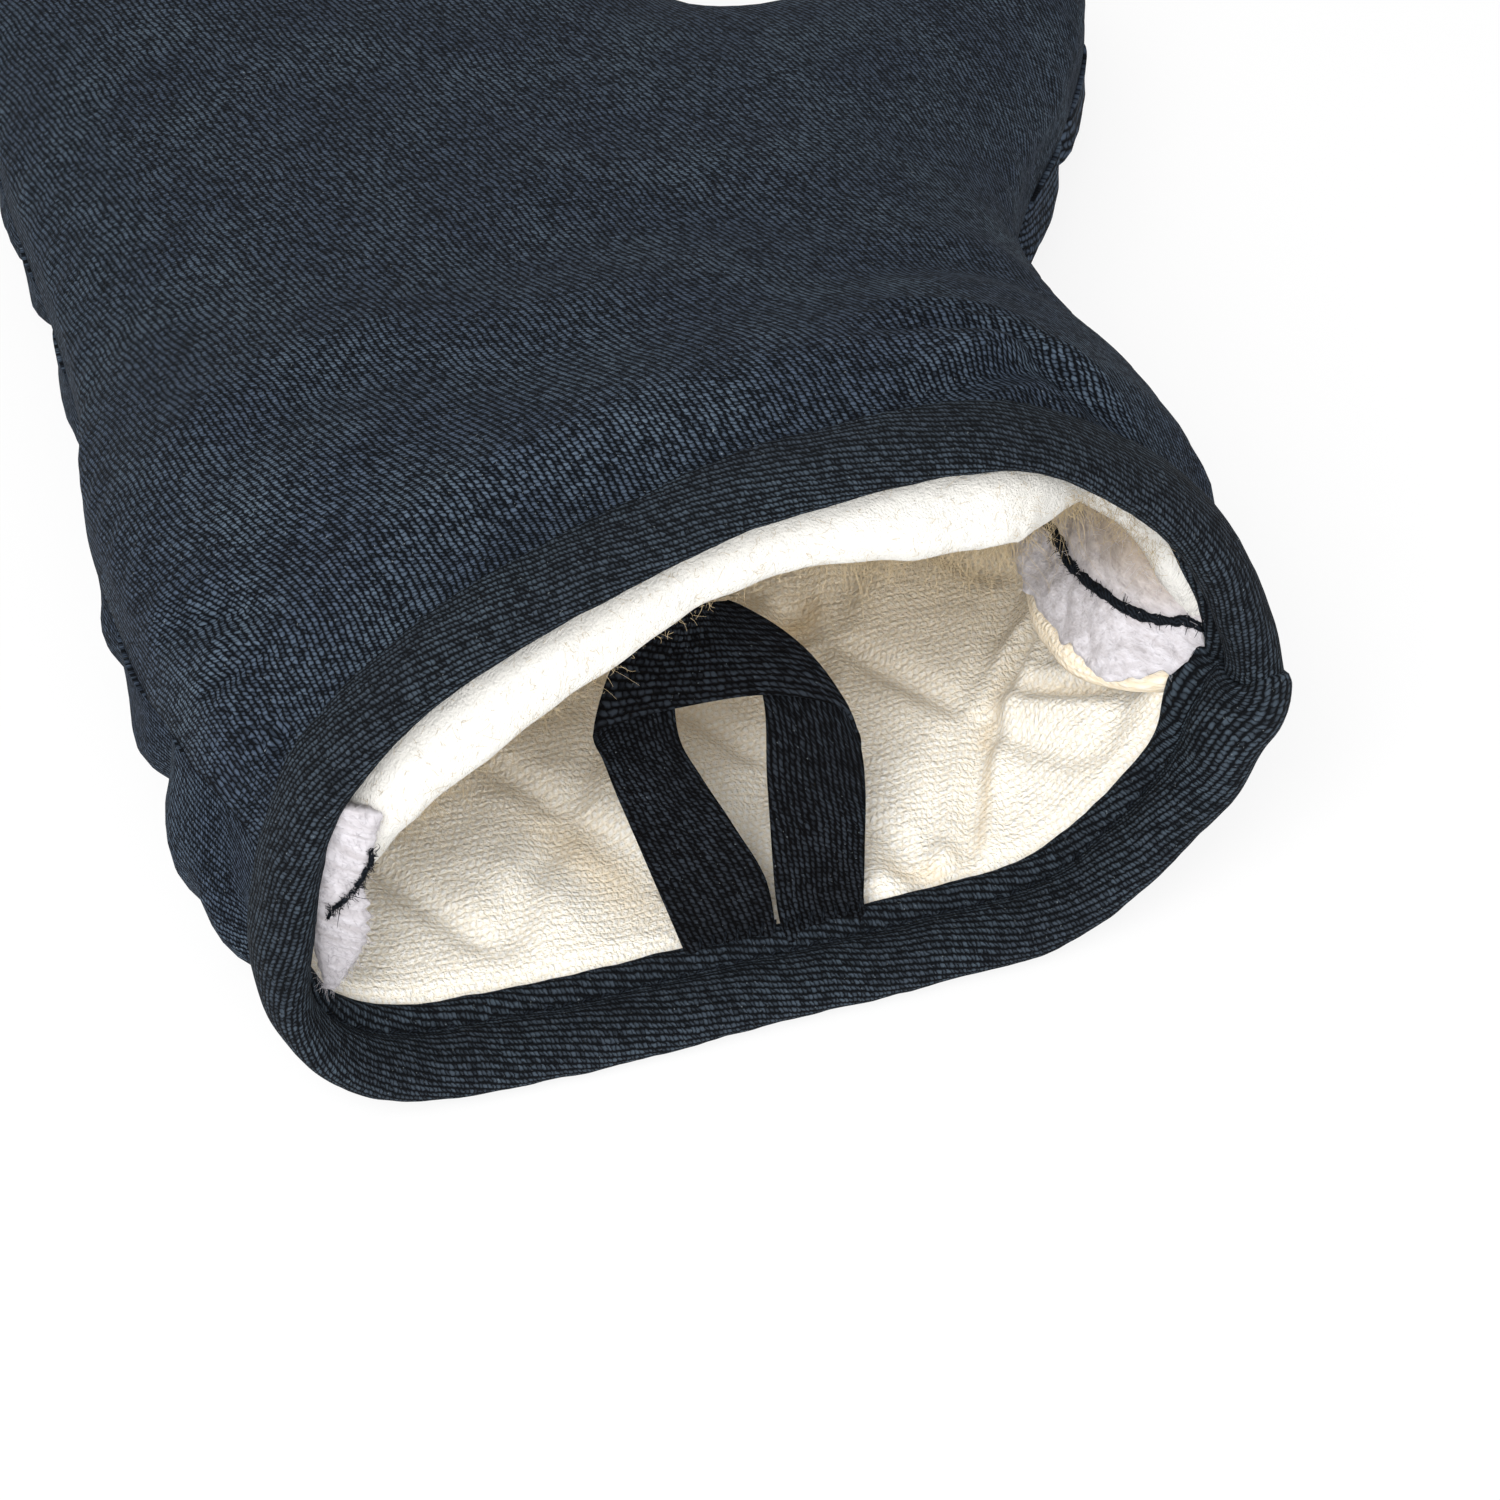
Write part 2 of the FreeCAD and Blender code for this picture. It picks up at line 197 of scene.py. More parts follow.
def face_normals(points: Array, triangles: Array) -> Array:
    """Normals of triangles, each twice as long as its triangle's area."""
    a, b, c = (points[triangles[:, k]] for k in range(3))
    return np.cross(b - a, c - a)


def vertex_normals(points: Array, triangles: Array) -> Array:
    """Unit normals at the corners of a triangle mesh, weighted by area.

    Args:
        points: The mesh's vertices.
        triangles: Its triangles.

    Returns:
        A normal for each vertex.
    """
    face = face_normals(points, triangles)
    normal = np.zeros_like(points)
    for k in range(3):
        np.add.at(normal, triangles[:, k], face)
    return unit(normal)


def search_tree(points: Array, triangles: Array) -> BVHTree:
    """A tree in which the nearest place on a surface is found fast."""
    return BVHTree.FromPolygons(points.tolist(), triangles.tolist())


def surface_area(points: Array, triangles: Array) -> float:
    """Area of a triangle mesh, in the square of its unit."""
    return float(np.linalg.norm(face_normals(points, triangles), axis=1).sum() / 2)


# ---- mesh makers
def link_object(name: str, data: bpy.types.ID) -> bpy.types.Object:
    """Makes an object of some data and links it to the scene.

    Args:
        name: The object's name.
        data: Its mesh, curve, lamp or camera.

    Returns:
        The object.
    """
    item = bpy.data.objects.new(name, data)
    bpy.context.scene.collection.objects.link(item)
    return item


def make_object(name: str, points: Array, faces: Sequence[Sequence[int]], material: Material,
                **attributes: Array) -> bpy.types.Object:
    """Makes a smooth-shaded mesh object.

    Args:
        name: The piece's name.
        points: Vertices in millimetres.
        faces: Vertex indices of each face.
        material: Its material.
        attributes: Point attributes, one number or one row of two for each vertex of the
            mesh, or of a sheet's outer face alone.

    Returns:
        The new object, linked to the scene.
    """
    mesh = bpy.data.meshes.new(name)
    mesh.from_pydata((np.asarray(points) * MM).tolist(), [], [list(map(int, f)) for f in faces])
    for key, values in attributes.items():
        values = np.concatenate([np.asarray(values, float)] * (len(points) // len(values)))
        if values.ndim == 2:
            values = np.hstack([values, np.zeros((len(values), 1))])
            mesh.attributes.new(key, "FLOAT_VECTOR", "POINT").data.foreach_set("vector", values.ravel())
        else:
            mesh.attributes.new(key, "FLOAT", "POINT").data.foreach_set("value", values)
    mesh.polygons.foreach_set("use_smooth", [True] * len(mesh.polygons))
    mesh.materials.append(material)
    mesh.update()
    return link_object(name, mesh)


def border_loop(triangles: Array) -> Array:
    """Directed edges that only one triangle uses, as pairs of vertex indices.

    Args:
        triangles: The mesh's triangles.

    Returns:
        One row for each edge.
    """
    edges = np.vstack([triangles[:, [0, 1]], triangles[:, [1, 2]], triangles[:, [2, 0]]])
    key = {tuple(e) for e in edges.tolist()}
    return np.array([e for e in edges.tolist() if (e[1], e[0]) not in key])


def both_faces(triangles: Array, count: int) -> Array:
    """Triangles of a sheet's outer face, of its inner face and of the wall at their border.

    Args:
        triangles: Triangles of the outer face.
        count: How many vertices it has, after which those of the inner face follow.

    Returns:
        All the triangles.
    """
    a, b = border_loop(triangles).T
    wall = np.vstack([np.stack([b, a, a + count], 1), np.stack([b, a + count, b + count], 1)])
    return np.vstack([triangles, triangles[:, ::-1] + count, wall])


def thick_sheet(points: Array, triangles: Array, outward: Array | float,
                inward: Array | float) -> tuple[Array, Array]:
    """Gives a surface a thickness, closed at its border.

    Args:
        points: The surface's vertices.
        triangles: Its triangles.
        outward: How far the outer face stands from it, at each vertex or everywhere.
        inward: How far the inner face stands from it the other way.

    Returns:
        Vertices (outer face first, then inner face) and triangles.
    """
    normal = vertex_normals(points, triangles)
    over, under = (normal * np.reshape(far, (-1, 1)) for far in (outward, inward))
    both = np.vstack([points + over, points - under])
    return both, both_faces(triangles, len(points))


def grid_triangles(rows: int, columns: int) -> Array:
    """Triangles of a grid of vertices stored row by row.

    Args:
        rows: How many rows there are.
        columns: Vertices in each.

    Returns:
        The triangles.
    """
    r, c = np.meshgrid(np.arange(rows - 1), np.arange(columns - 1), indexing="ij")
    a = (r * columns + c).ravel()
    quads = np.stack([a, a + 1, a + columns + 1, a + columns], 1)
    return np.vstack([quads[:, [0, 1, 2]], quads[:, [0, 2, 3]]])


def round_faces(rings: int, around: int, base: int = 0) -> list[tuple[int, ...]]:
    """Faces of a round cord with closed ends.

    Args:
        rings: How many rings of vertices it has.
        around: Vertices in each.
        base: Number of its first vertex.

    Returns:
        Its sides ring by ring, then its two ends.
    """
    faces = []
    for p in range(base, base + (rings - 1) * around, around):
        for k in range(around):
            m = (k + 1) % around
            faces.append((p + k, p + m, p + around + m, p + around + k))
    last = base + (rings - 1) * around
    return faces + [tuple(range(base + around - 1, base - 1, -1)), tuple(range(last, last + around))]


def stitches(name: str, starts: Array, ends: Array, normals: Array, thread: float,
             material: Material, lift: float = 0.1) -> bpy.types.Object:
    """Lays short threads on a surface, each one arched and pulled in at its ends.

    Args:
        name: The piece's name.
        starts: Where each stitch comes out of the cloth.
        ends: Where it goes back in.
        normals: The cloth's normal at each stitch.
        thread: The thread's diameter.
        material: Its material.
        lift: How far the middle of a stitch stands over the surface.

    Returns:
        One object with all the stitches.
    """
    around = 6
    profile = (  # share of the stitch's length, height and width in threads
        (0.0, -0.55, 0.55), (0.14, 0.0, 0.85), (0.5, 0.5, 1.0), (0.86, 0.0, 0.85), (1.0, -0.55, 0.55))
    points, faces, cloth = [], [], []
    angle = np.arange(around) / around * 2 * math.pi
    for a, b, n in zip(starts, ends, normals):
        along = (b - a) / max(np.linalg.norm(b - a), 1e-9)
        side = np.cross(n, along)
        base = len(points)
        for t, height, wide in profile:
            centre = a + (b - a) * t + n * (height * thread + lift * thread)
            for w in angle:
                points.append(centre + (side * math.cos(w) + n * math.sin(w)) * thread / 2 * wide)
                cloth.append((w / math.pi * thread, t * np.linalg.norm(b - a)))
        faces += round_faces(len(profile), around, base)
    return make_object(name, np.array(points), faces, material, **{CLOTH: np.array(cloth)})


def hairs(name: str, lines: Sequence[Array], radius: float, material: Material) -> bpy.types.Object:
    """Makes loose fibres or threads, one thin tapering tube for each line.

    Args:
        name: The piece's name.
        lines: The points of each fibre, in millimetres.
        radius: A fibre's radius.
        material: Its material.

    Returns:
        One curve object with a spline for each fibre.
    """
    curve = bpy.data.curves.new(name, "CURVE")
    curve.dimensions = "3D"
    curve.bevel_depth = radius * MM
    curve.bevel_resolution = 0
    curve.use_fill_caps = True
    for line in lines:
        one = curve.splines.new("POLY")
        one.points.add(len(line) - 1)
        rows = np.hstack([np.asarray(line) * MM, np.ones((len(line), 1))])
        one.points.foreach_set("co", rows.ravel())
        for i, point in enumerate(one.points):
            point.radius = 1.0 - 0.6 * i / len(line)
    curve.materials.append(material)
    return link_object(name, curve)


def tube(points: Array, radius: Array, around: int = 8) -> tuple[Array, list[tuple[int, ...]], Array]:
    """Sweeps a round section along a line.

    Args:
        points: The line.
        radius: The section's radius at each of its points.
        around: Corners of the section.

    Returns:
        Vertices, faces, and the place of each vertex on the unrolled surface.
    """
    tangent = unit(np.gradient(points, axis=0), 1e-9)
    side = unit(np.cross(tangent, [0.0, 0.0, 1.0]), 1e-6)
    other = np.cross(side, tangent)
    along = lengths(points)
    verts, flat = [], []
    for i, p in enumerate(points):
        for k in range(around):
            w = k / around * 2 * math.pi
            verts.append(p + (side[i] * math.cos(w) + other[i] * math.sin(w)) * radius[i])
            flat.append((w * radius[i], along[i]))
    return np.array(verts), round_faces(len(points), around), np.array(flat)


# ---- finishes
def linear(code: str) -> tuple[float, float, float, float]:
    """Turns an sRGB hex colour into Blender's linear colour."""
    parts = [int(code[i:i + 2], 16) / 255 for i in (1, 3, 5)]
    return (*(c / 12.92 if c <= 0.04045 else ((c + 0.055) / 1.055) ** 2.4 for c in parts), 1.0)


def clean_tree(owner: Material | bpy.types.World) -> bpy.types.NodeTree:
    """Gives a material or a world an empty node tree.

    Args:
        owner: The material or world.

    Returns:
        The tree.
    """
    owner.use_nodes = True
    owner.node_tree.nodes.clear()
    return owner.node_tree


def add_node(tree: bpy.types.NodeTree, kind: str, *values: Value, out: str = "",
             **settings: Value | str) -> Socket | None:
    """Adds one node with its settings and links.

    Args:
        tree: The material's or world's node tree.
        kind: The node's type without ShaderNode, or a Math node's operation in capitals.
        values: Values or sockets for those inputs that its settings leave open, in order.
        out: Name of the output that is wanted; the first one if it is empty.
        settings: Properties of the node in small letters, and inputs with a capital, named as
            in Blender with _ for a space.

    Returns:
        The wanted output, or nothing where the node has none.
    """
    node = tree.nodes.new("ShaderNodeMath" if kind.isupper() else f"ShaderNode{kind}")
    if kind.isupper():
        node.operation = kind
    for key in filter(str.islower, settings):
        setattr(node, key, settings[key])
    named = {key.replace("_", " "): value for key, value in settings.items() if not key.islower()}
    pairs = list(zip([socket for socket in node.inputs if socket.enabled], values))
    for socket, value in pairs + [(node.inputs[key], value) for key, value in named.items()]:
        if isinstance(value, bpy.types.NodeSocket):
            tree.links.new(value, socket)
        else:
            socket.default_value = value
    wanted = [socket for socket in node.outputs if socket.enabled and out in ("", socket.name)]
    return wanted[0] if wanted else None


@dataclass(frozen=True)
class Finish:
    """What every cloth or thread finish here shares.

    Patterns follow real sizes of ribs, loops and twists. A single cotton fibre is too fine to
    show, so the fibre noises are drawn 0.2 to 0.4 mm wide.

    Attributes:
        name: The material's name.
        lit: Colour of the fibres in the light, as sRGB hex.
        shaded: Colour between them.
        roughness: Of the fibres.
        sheen: Strength of the pale haze of stray fibres at a grazing angle.
        haze: How widely it spreads.
        shine: How much a fibre mirrors: little, for spun cotton.
    """

    name: str
    lit: str
    shaded: str
    roughness: float = 0.9
    sheen: float = 0.1
    haze: float = 0.5
    shine: float = 0.08

    def build(self) -> Material:
        """Makes the material: a rough cloth shader under this finish's own pattern.

        Returns:
            The material.
        """
        material = bpy.data.materials.new(self.name)
        add = partial(add_node, clean_tree(material))
        colour, height, relief = self.pattern(add)
        bump = add("Bump", Strength=1.0, Distance=relief * MM, Height=height)
        cloth = add("BsdfPrincipled", Base_Color=colour, Roughness=self.roughness,
                    Specular_IOR_Level=self.shine, Sheen_Weight=self.sheen,
                    Sheen_Roughness=self.haze, Sheen_Tint=linear(self.lit), Normal=bump)
        add("OutputMaterial", cloth)
        return material

    def pattern(self, add: AddNode) -> Look:
        """Colour, height from 0 to 1, and what a height of 1 is in millimetres."""
        raise NotImplementedError

    @staticmethod
    def axes(add: AddNode) -> tuple[Socket, Socket]:
        """Distance across and along the flat cloth, in millimetres."""
        place = add("Attribute", out="Vector", attribute_name=CLOTH)
        return (add("SeparateXYZ", place, out="X"), add("SeparateXYZ", place, out="Y"))

    @staticmethod
    def mottle(add: AddNode, cloth: tuple[Socket, Socket], size: float, detail: float,
               layer: float = 0.0) -> Socket:
        """Noise from 0 to 1 on the flat cloth, in lumps about size millimetres wide."""
        return add("TexNoise", add("CombineXYZ", *cloth, layer), 1.0 / size, detail)

    @staticmethod
    def arch(add: AddNode, place: Socket, power: float) -> Socket:
        """Rounded ridges from 0 to 1, one to a whole number; a power below 1 makes them full."""
        turn = add("MULTIPLY", add("FRACT", place), math.pi)
        return add("POWER", add("SINE", turn), power)

    @staticmethod
    def shaded_in(add: AddNode, base: Socket, colour: str, most: float) -> Socket:
        """Multiplies a colour by another as far as the shade attribute says: painted shade on the terry, a
        beige tint on the seam edges' wadding.
        """
        shade = add("MULTIPLY", add("Attribute", out="Fac", attribute_name=SHADE), most)
        return add("Mix", shade, base, linear(colour), data_type="RGBA", blend_type="MULTIPLY")

    def fibres(self, add: AddNode, tone: Socket, least: float, most: float) -> Socket:
        """Goes from the shaded colour to the lit one as a tone goes from least to most."""
        share = add("MapRange", tone, least, most)
        return add("Mix", share, linear(self.shaded), linear(self.lit), data_type="RGBA")


@dataclass(frozen=True)
class TwillFinish(Finish):
    """Twill: steep ribs of twisted yarn, each rib a row of short slanting floats.

    The eye sees fine pale-topped diagonal ribs with dark ditches between them, yarns that vary
    a little in tone, and tiny pale flecks of fibre.

    Attributes:
        rib: From one rib to the next.
        rib_angle: Of the ribs from the cloth's length, in degrees.
        floats: From one float to the next along a rib.
        relief: Height of a rib.
        flecks: How many of the tiny pale fibre ends show, from 0 to 1.
        fleck: Their colour.
        worn: Colour where the ribs are rubbed pale.
        slant: How far a float leans across its rib.
        step: How far each rib's floats are set off from those before.
    """

    rib: float = 0.9
    rib_angle: float = 10.5
    floats: float = 0.62
    relief: float = 0.22
    flecks: float = 0.5
    fleck: str = "#a3adb2"
    worn: str = "#5b6a74"
    slant: float = 0.55
    step: float = 0.37

    def pattern(self, add: AddNode) -> Look:
        """Rows of slanting floats, each with a tone of its own, pushed about by noise.

        Args:
            add: Adds a node to the material.

        Returns:
            Its colour, height and relief.
        """
        across, along = cloth = self.axes(add)
        wander = add("MULTIPLY", self.mottle(add, cloth, 11.0, 1.0), 1.6)
        jitter = add("MULTIPLY", self.mottle(add, cloth, 0.9, 1.0), 0.5)
        lean = math.radians(self.rib_angle)
        over = add("MULTIPLY_ADD", across, math.cos(lean), wander)
        over = add("MULTIPLY_ADD", along, math.sin(lean), over)
        over = add("ADD", over, jitter)
        down = add("MULTIPLY_ADD", across, -math.sin(lean), add("MULTIPLY", along, math.cos(lean)))
        rib = add("DIVIDE", over, self.rib)
        number = add("FLOOR", rib)
        bead = add("MULTIPLY_ADD", over, self.slant, add("ADD", down, jitter))
        bead = add("DIVIDE", bead, self.floats)
        bead = add("MULTIPLY_ADD", number, self.step, bead)
        beads = add("MULTIPLY_ADD", self.arch(add, bead, 0.7), 0.6, 0.4)
        height = add("MULTIPLY", self.arch(add, rib, 0.75), beads)
        own = add("CombineXYZ", number, add("FLOOR", bead), 0.0)
        own = add("TexWhiteNoise", own, noise_dimensions="2D")
        hairy = self.mottle(add, cloth, 0.3, 2.0, 4.0)
        tone = add("MULTIPLY", height, add("MULTIPLY_ADD", own, 0.55, 0.6))
        tone = add("MULTIPLY_ADD", add("SUBTRACT", hairy, 0.5), 0.5, tone)
        base = self.fibres(add, tone, 0.36, 1.0)
        rubbed = add("MapRange", self.mottle(add, cloth, 18.0, 4.0), 0.42, 0.72)
        rubbed = add("MULTIPLY", rubbed, add("MapRange", tone, 0.5, 1.0))
        rubbed = add("MULTIPLY", rubbed, 0.6)
        base = add("Mix", rubbed, base, linear(self.worn), data_type="RGBA")
        speck = self.mottle(add, cloth, 0.4, 1.0, 3.0)
        speck = add("MapRange", speck, 0.78 - 0.12 * self.flecks, 0.84)
        speck = add("MULTIPLY", speck, 0.8 * self.flecks)
        base = add("Mix", speck, base, linear(self.fleck), data_type="RGBA")
        return base, add("MULTIPLY_ADD", hairy, 0.3, height), self.relief


@dataclass(frozen=True)
class TerryFinish(Finish):
    """Brushed cotton terry: rows of small loops, felted smooth where the nap is raised.

    The eye sees cream nubs in crooked rows with warm shade between them, and a soft white felt
    along the lip where the cloth is rubbed. A warm tan shade is painted in deep inside the mitt and in
    creases.

    Attributes:
        row: From one row of loops to the next.
        loop: From one loop to the next.
        relief: Height of a loop.
        felt: Colour of the brushed lip.
        deep: Colour of the painted shade, multiplied in deep inside the mitt and in creases.
        yellowed: Colour of the faint yellow patches.
    """

    row: float = 1.25
    loop: float = 1.0
    relief: float = 0.32
    felt: str = "#d9d7d2"
    deep: str = "#f6e0ba"
    yellowed: str = "#e4cfa8"

    def pattern(self, add: AddNode) -> Look:
        """Staggered loops pushed about by noise, fading to felt by the nap attribute.

        Args:
            add: Adds a node to the material.

        Returns:
            Its colour, height and relief.
        """
        across, along = cloth = self.axes(add)
        push = add("MULTIPLY", self.mottle(add, cloth, 2.6, 2.0), 1.5)
        rows = add("DIVIDE", add("ADD", along, push), self.row)
        stagger = add("MULTIPLY", add("FLOOR", rows), 0.5)
        columns = add("DIVIDE", add("ADD", across, push), self.loop)
        columns = add("ADD", columns, stagger)
        waves = []
        for place in (rows, columns):
            wave = add("SINE", add("MULTIPLY", place, math.pi))
            waves.append(add("ABSOLUTE", wave))
        loops = add("MULTIPLY", *waves)
        lumps = self.mottle(add, (across, add("MULTIPLY", along, 1.5)), 0.9, 3.0)
        lumps = add("MULTIPLY", lumps, 0.65)
        looped = add("MULTIPLY_ADD", loops, 0.45, lumps)
        fuzz = add("MULTIPLY", self.mottle(add, cloth, 0.35, 3.0, 7.0), 0.5)
        felted = add("MULTIPLY_ADD", self.mottle(add, cloth, 1.6, 3.0), 0.7, fuzz)
        nap = add("Attribute", out="Fac", attribute_name=NAP)
        height = add("MULTIPLY", looped, add("SUBTRACT", 1.0, nap))
        height = add("ADD", height, add("MULTIPLY", felted, 2.2))
        base = self.fibres(add, looped, 0.30, 0.85)
        base = add("Mix", nap, base, linear(self.felt), data_type="RGBA")
        # Painted shade: a warm tan multiplied in where the shade attribute says the terry lies deep inside or
        # in a crease.
        base = self.shaded_in(add, base, self.deep, 0.6)
        patch = add("MapRange", self.mottle(add, cloth, 14.0, 3.0), 0.35, 0.75)
        patch = add("MULTIPLY", patch, 0.05)
        return add("Mix", patch, base, linear(self.yellowed), data_type="RGBA"), height, self.relief


@dataclass(frozen=True)
class WaddingFinish(Finish):
    """Needled cotton wadding: a matted white felt with short fibres lying every way.

    The eye sees soft lumps with faint grey between them, tinted beige where its shade attribute is set.

    Attributes:
        relief: Height of the mat.
        beige_tint: Colour multiplied in where the shade attribute is set, towards the top of a seam edge.
    """

    relief: float = 0.5
    beige_tint: str = "#c9b797"

    def pattern(self, add: AddNode) -> Look:
        """Two sizes of matted noise, stretched a little along the cloth.

        Args:
            add: Adds a node to the material.

        Returns:
            Its colour, height and relief.
        """
        across, along = cloth = self.axes(add)
        mat = self.mottle(add, (across, add("MULTIPLY", along, 0.6)), 1.4, 4.0)
        fine = self.mottle(add, cloth, 0.4, 3.0, 5.0)
        height = add("MULTIPLY_ADD", fine, 0.4, add("MULTIPLY", mat, 0.6))
        base = self.fibres(add, height, 0.3, 0.65)
        # A beige tint multiplied in where the shade attribute is set; only the seam edges set it.
        return self.shaded_in(add, base, self.beige_tint, 0.75), height, self.relief


@dataclass(frozen=True)
class ThreadFinish(Finish):
    """Spun sewing thread: two plies twisted together, a little fuzzy.

    The eye sees a fine slanting stripe that fibres blur.

    Attributes:
        twist: From one turn of the twist to the next.
        relief: Height of a ply.
    """

    twist: float = 0.8
    relief: float = 0.08

    def pattern(self, add: AddNode) -> Look:
        """A slanting stripe for the twist, with noise for the fibres.

        Args:
            add: Adds a node to the material.

        Returns:
            Its colour, height and relief.
        """
        across, along = cloth = self.axes(add)
        slant = add("ADD", add("MULTIPLY", across, 1.3), along)
        wave = add("SINE", add("MULTIPLY", slant, 2 * math.pi / self.twist))
        height = add("MULTIPLY_ADD", wave, 0.3, self.mottle(add, cloth, 0.2, 2.0))
        return self.fibres(add, height, 0.2, 0.8), height, self.relief


SHELL_TWILL = TwillFinish("blue_black_cotton_twill", "#424d5d", "#070a0e", 0.92, 0.04)
BINDING_TWILL = TwillFinish("blue_black_bias_cut_twill", "#373f48", "#080a0d", 0.92, 0.06, rib=0.95,
                            rib_angle=12.0, flecks=0.4, worn="#46535d")
LOOP_TAPE = TwillFinish("near_black_twill_tape", "#25292f", "#020203", 0.95, 0.03, rib=0.8,
                        rib_angle=6.0, floats=0.7, flecks=0.3, worn="#333b44")
TERRY = TerryFinish("cream_brushed_terry", "#fffffd", "#f6eedd", 0.95, 0.05)
WADDING = WaddingFinish("white_needled_wadding", "#cfccd1", "#a8a2a4", 0.95, 0.1)
DARK_THREAD = ThreadFinish("black_spun_thread", "#1a1f26", "#040507", 0.8, 0.05)
WHITE_THREAD = ThreadFinish("white_spun_thread", "#dfe3e6", "#98a1a8", 0.8, 0.1)
STRAY_FIBRE = ThreadFinish("stray_cotton_fibre", "#cbb999", "#9b8866", 0.8, 0.1)


@dataclass
class Palette:
    """Every material of the mitt, built once."""

    shell: Material = field(default_factory=SHELL_TWILL.build)
    binding: Material = field(default_factory=BINDING_TWILL.build)
    tape: Material = field(default_factory=LOOP_TAPE.build)
    terry: Material = field(default_factory=TERRY.build)
    wadding: Material = field(default_factory=WADDING.build)
    dark_thread: Material = field(default_factory=DARK_THREAD.build)
    white_thread: Material = field(default_factory=WHITE_THREAD.build)
    fibre: Material = field(default_factory=STRAY_FIBRE.build)


# ---- the rim
@dataclass
class Rim:
    """The oval that the binding holds the mouth open to, on a plane that leans back.

    Attributes:
        lean: The plane's lean from upright, in degrees.
        foot: Its y where it meets the table.
        nodes: Across, up the plane, and the padded edge's thickness, anticlockwise from the thumb side.
        left_seam: How far up the plane the little finger side's seam meets it.
        right_seam: And the thumb side's.
        samples: How many points the oval is sampled at.
        sink: How far the upper half comes down for each millimetre in.
    """

    lean: float = 19.0
    foot: float = -160.0
    nodes: Line3 = (
        (72, 36, 8), (66.5, 54, 8), (54.5, 67, 6.5), (37, 76, 4.8), (10, 76.3, 4.6), (-12, 71.8, 4.6),
        (-38.5, 62.3, 5), (-56, 48.8, 6), (-63.8, 30, 7.5), (-64.5, 17, 6.5), (-55, 7, 6.5),
        (-33.5, 3.9, 6.8), (0, 4, 6.6), (20, 3.9, 6.6), (42, 5.6, 6.8), (61, 18, 8), (67.5, 27, 9))
    left_seam: float = 30.0
    right_seam: float = 34.0
    samples: int = 900
    sink: float = 0.04

    def __post_init__(self) -> None:
        """Samples the loop evenly and finds its normals and seams."""
        line = spline(self.nodes, True, 24)
        line = evenly(np.vstack([line, line[:1]]), self.samples + 1)[:-1]
        self.place = line[:, :2]
        self.thick = line[:, 2]
        self.normal = turned(unit(np.roll(self.place, -1, axis=0) - np.roll(self.place, 1, axis=0)))
        self.step = float(np.linalg.norm(np.diff(self.place, axis=0), axis=1).mean())
        self.length = self.step * self.samples
        across, up = self.place.T
        far = 99  # more than any height, so that only one side is looked at
        self.left = int(np.argmin(np.abs(up - self.left_seam) + far * (across > 0)))
        self.right = int(np.argmin(np.abs(up - self.right_seam) + far * (across < 0)))

    def half(self, side: Side) -> Array:
        """Sample numbers from the little finger side's seam to the thumb side's.

        Args:
            side: Back or palm.

        Returns:
            The numbers in order.
        """
        way = -1 if side is Side.BACK else 1
        count = way * (self.right - self.left) % self.samples
        return (self.left + way * np.arange(count + 1)) % self.samples

    def solid(self, plane: Array) -> Array:
        """Directions of the leaning plane, given across and up, in three dimensions."""
        lean = math.radians(self.lean)
        return np.stack([plane[:, 0], plane[:, 1] * math.sin(lean), plane[:, 1] * math.cos(lean)], 1)

    def thickness(self, index: Array) -> Array:
        """The padded edge's thickness at sample numbers, which may be fractions."""
        at = np.arange(self.samples + 1)
        return np.interp(np.asarray(index) % self.samples, at, np.append(self.thick, self.thick[0]))

    def at(self, index: Array, inward: Array, radial: Array) -> Array:
        """Points of anything that follows the rim.

        Args:
            index: Sample number, which may be a fraction.
            inward: Distance into the mitt from the rim's plane.
            radial: Distance out from the middle of the padded edge.

        Returns:
            The points.
        """
        low = np.floor(index).astype(int) % self.samples
        part = (index - np.floor(index))[:, None]
        high = (low + 1) % self.samples
        place = self.place[low] * (1 - part) + self.place[high] * part
        normal = self.normal[low] * (1 - part) + self.normal[high] * part
        points = self.solid(place) + [0.0, self.foot, 0.0] + self.solid(normal) * radial[:, None]
        points[:, 1] += inward
        points[:, 2] -= inward * self.sink * smooth(10, 60, place[:, 1])
        return points


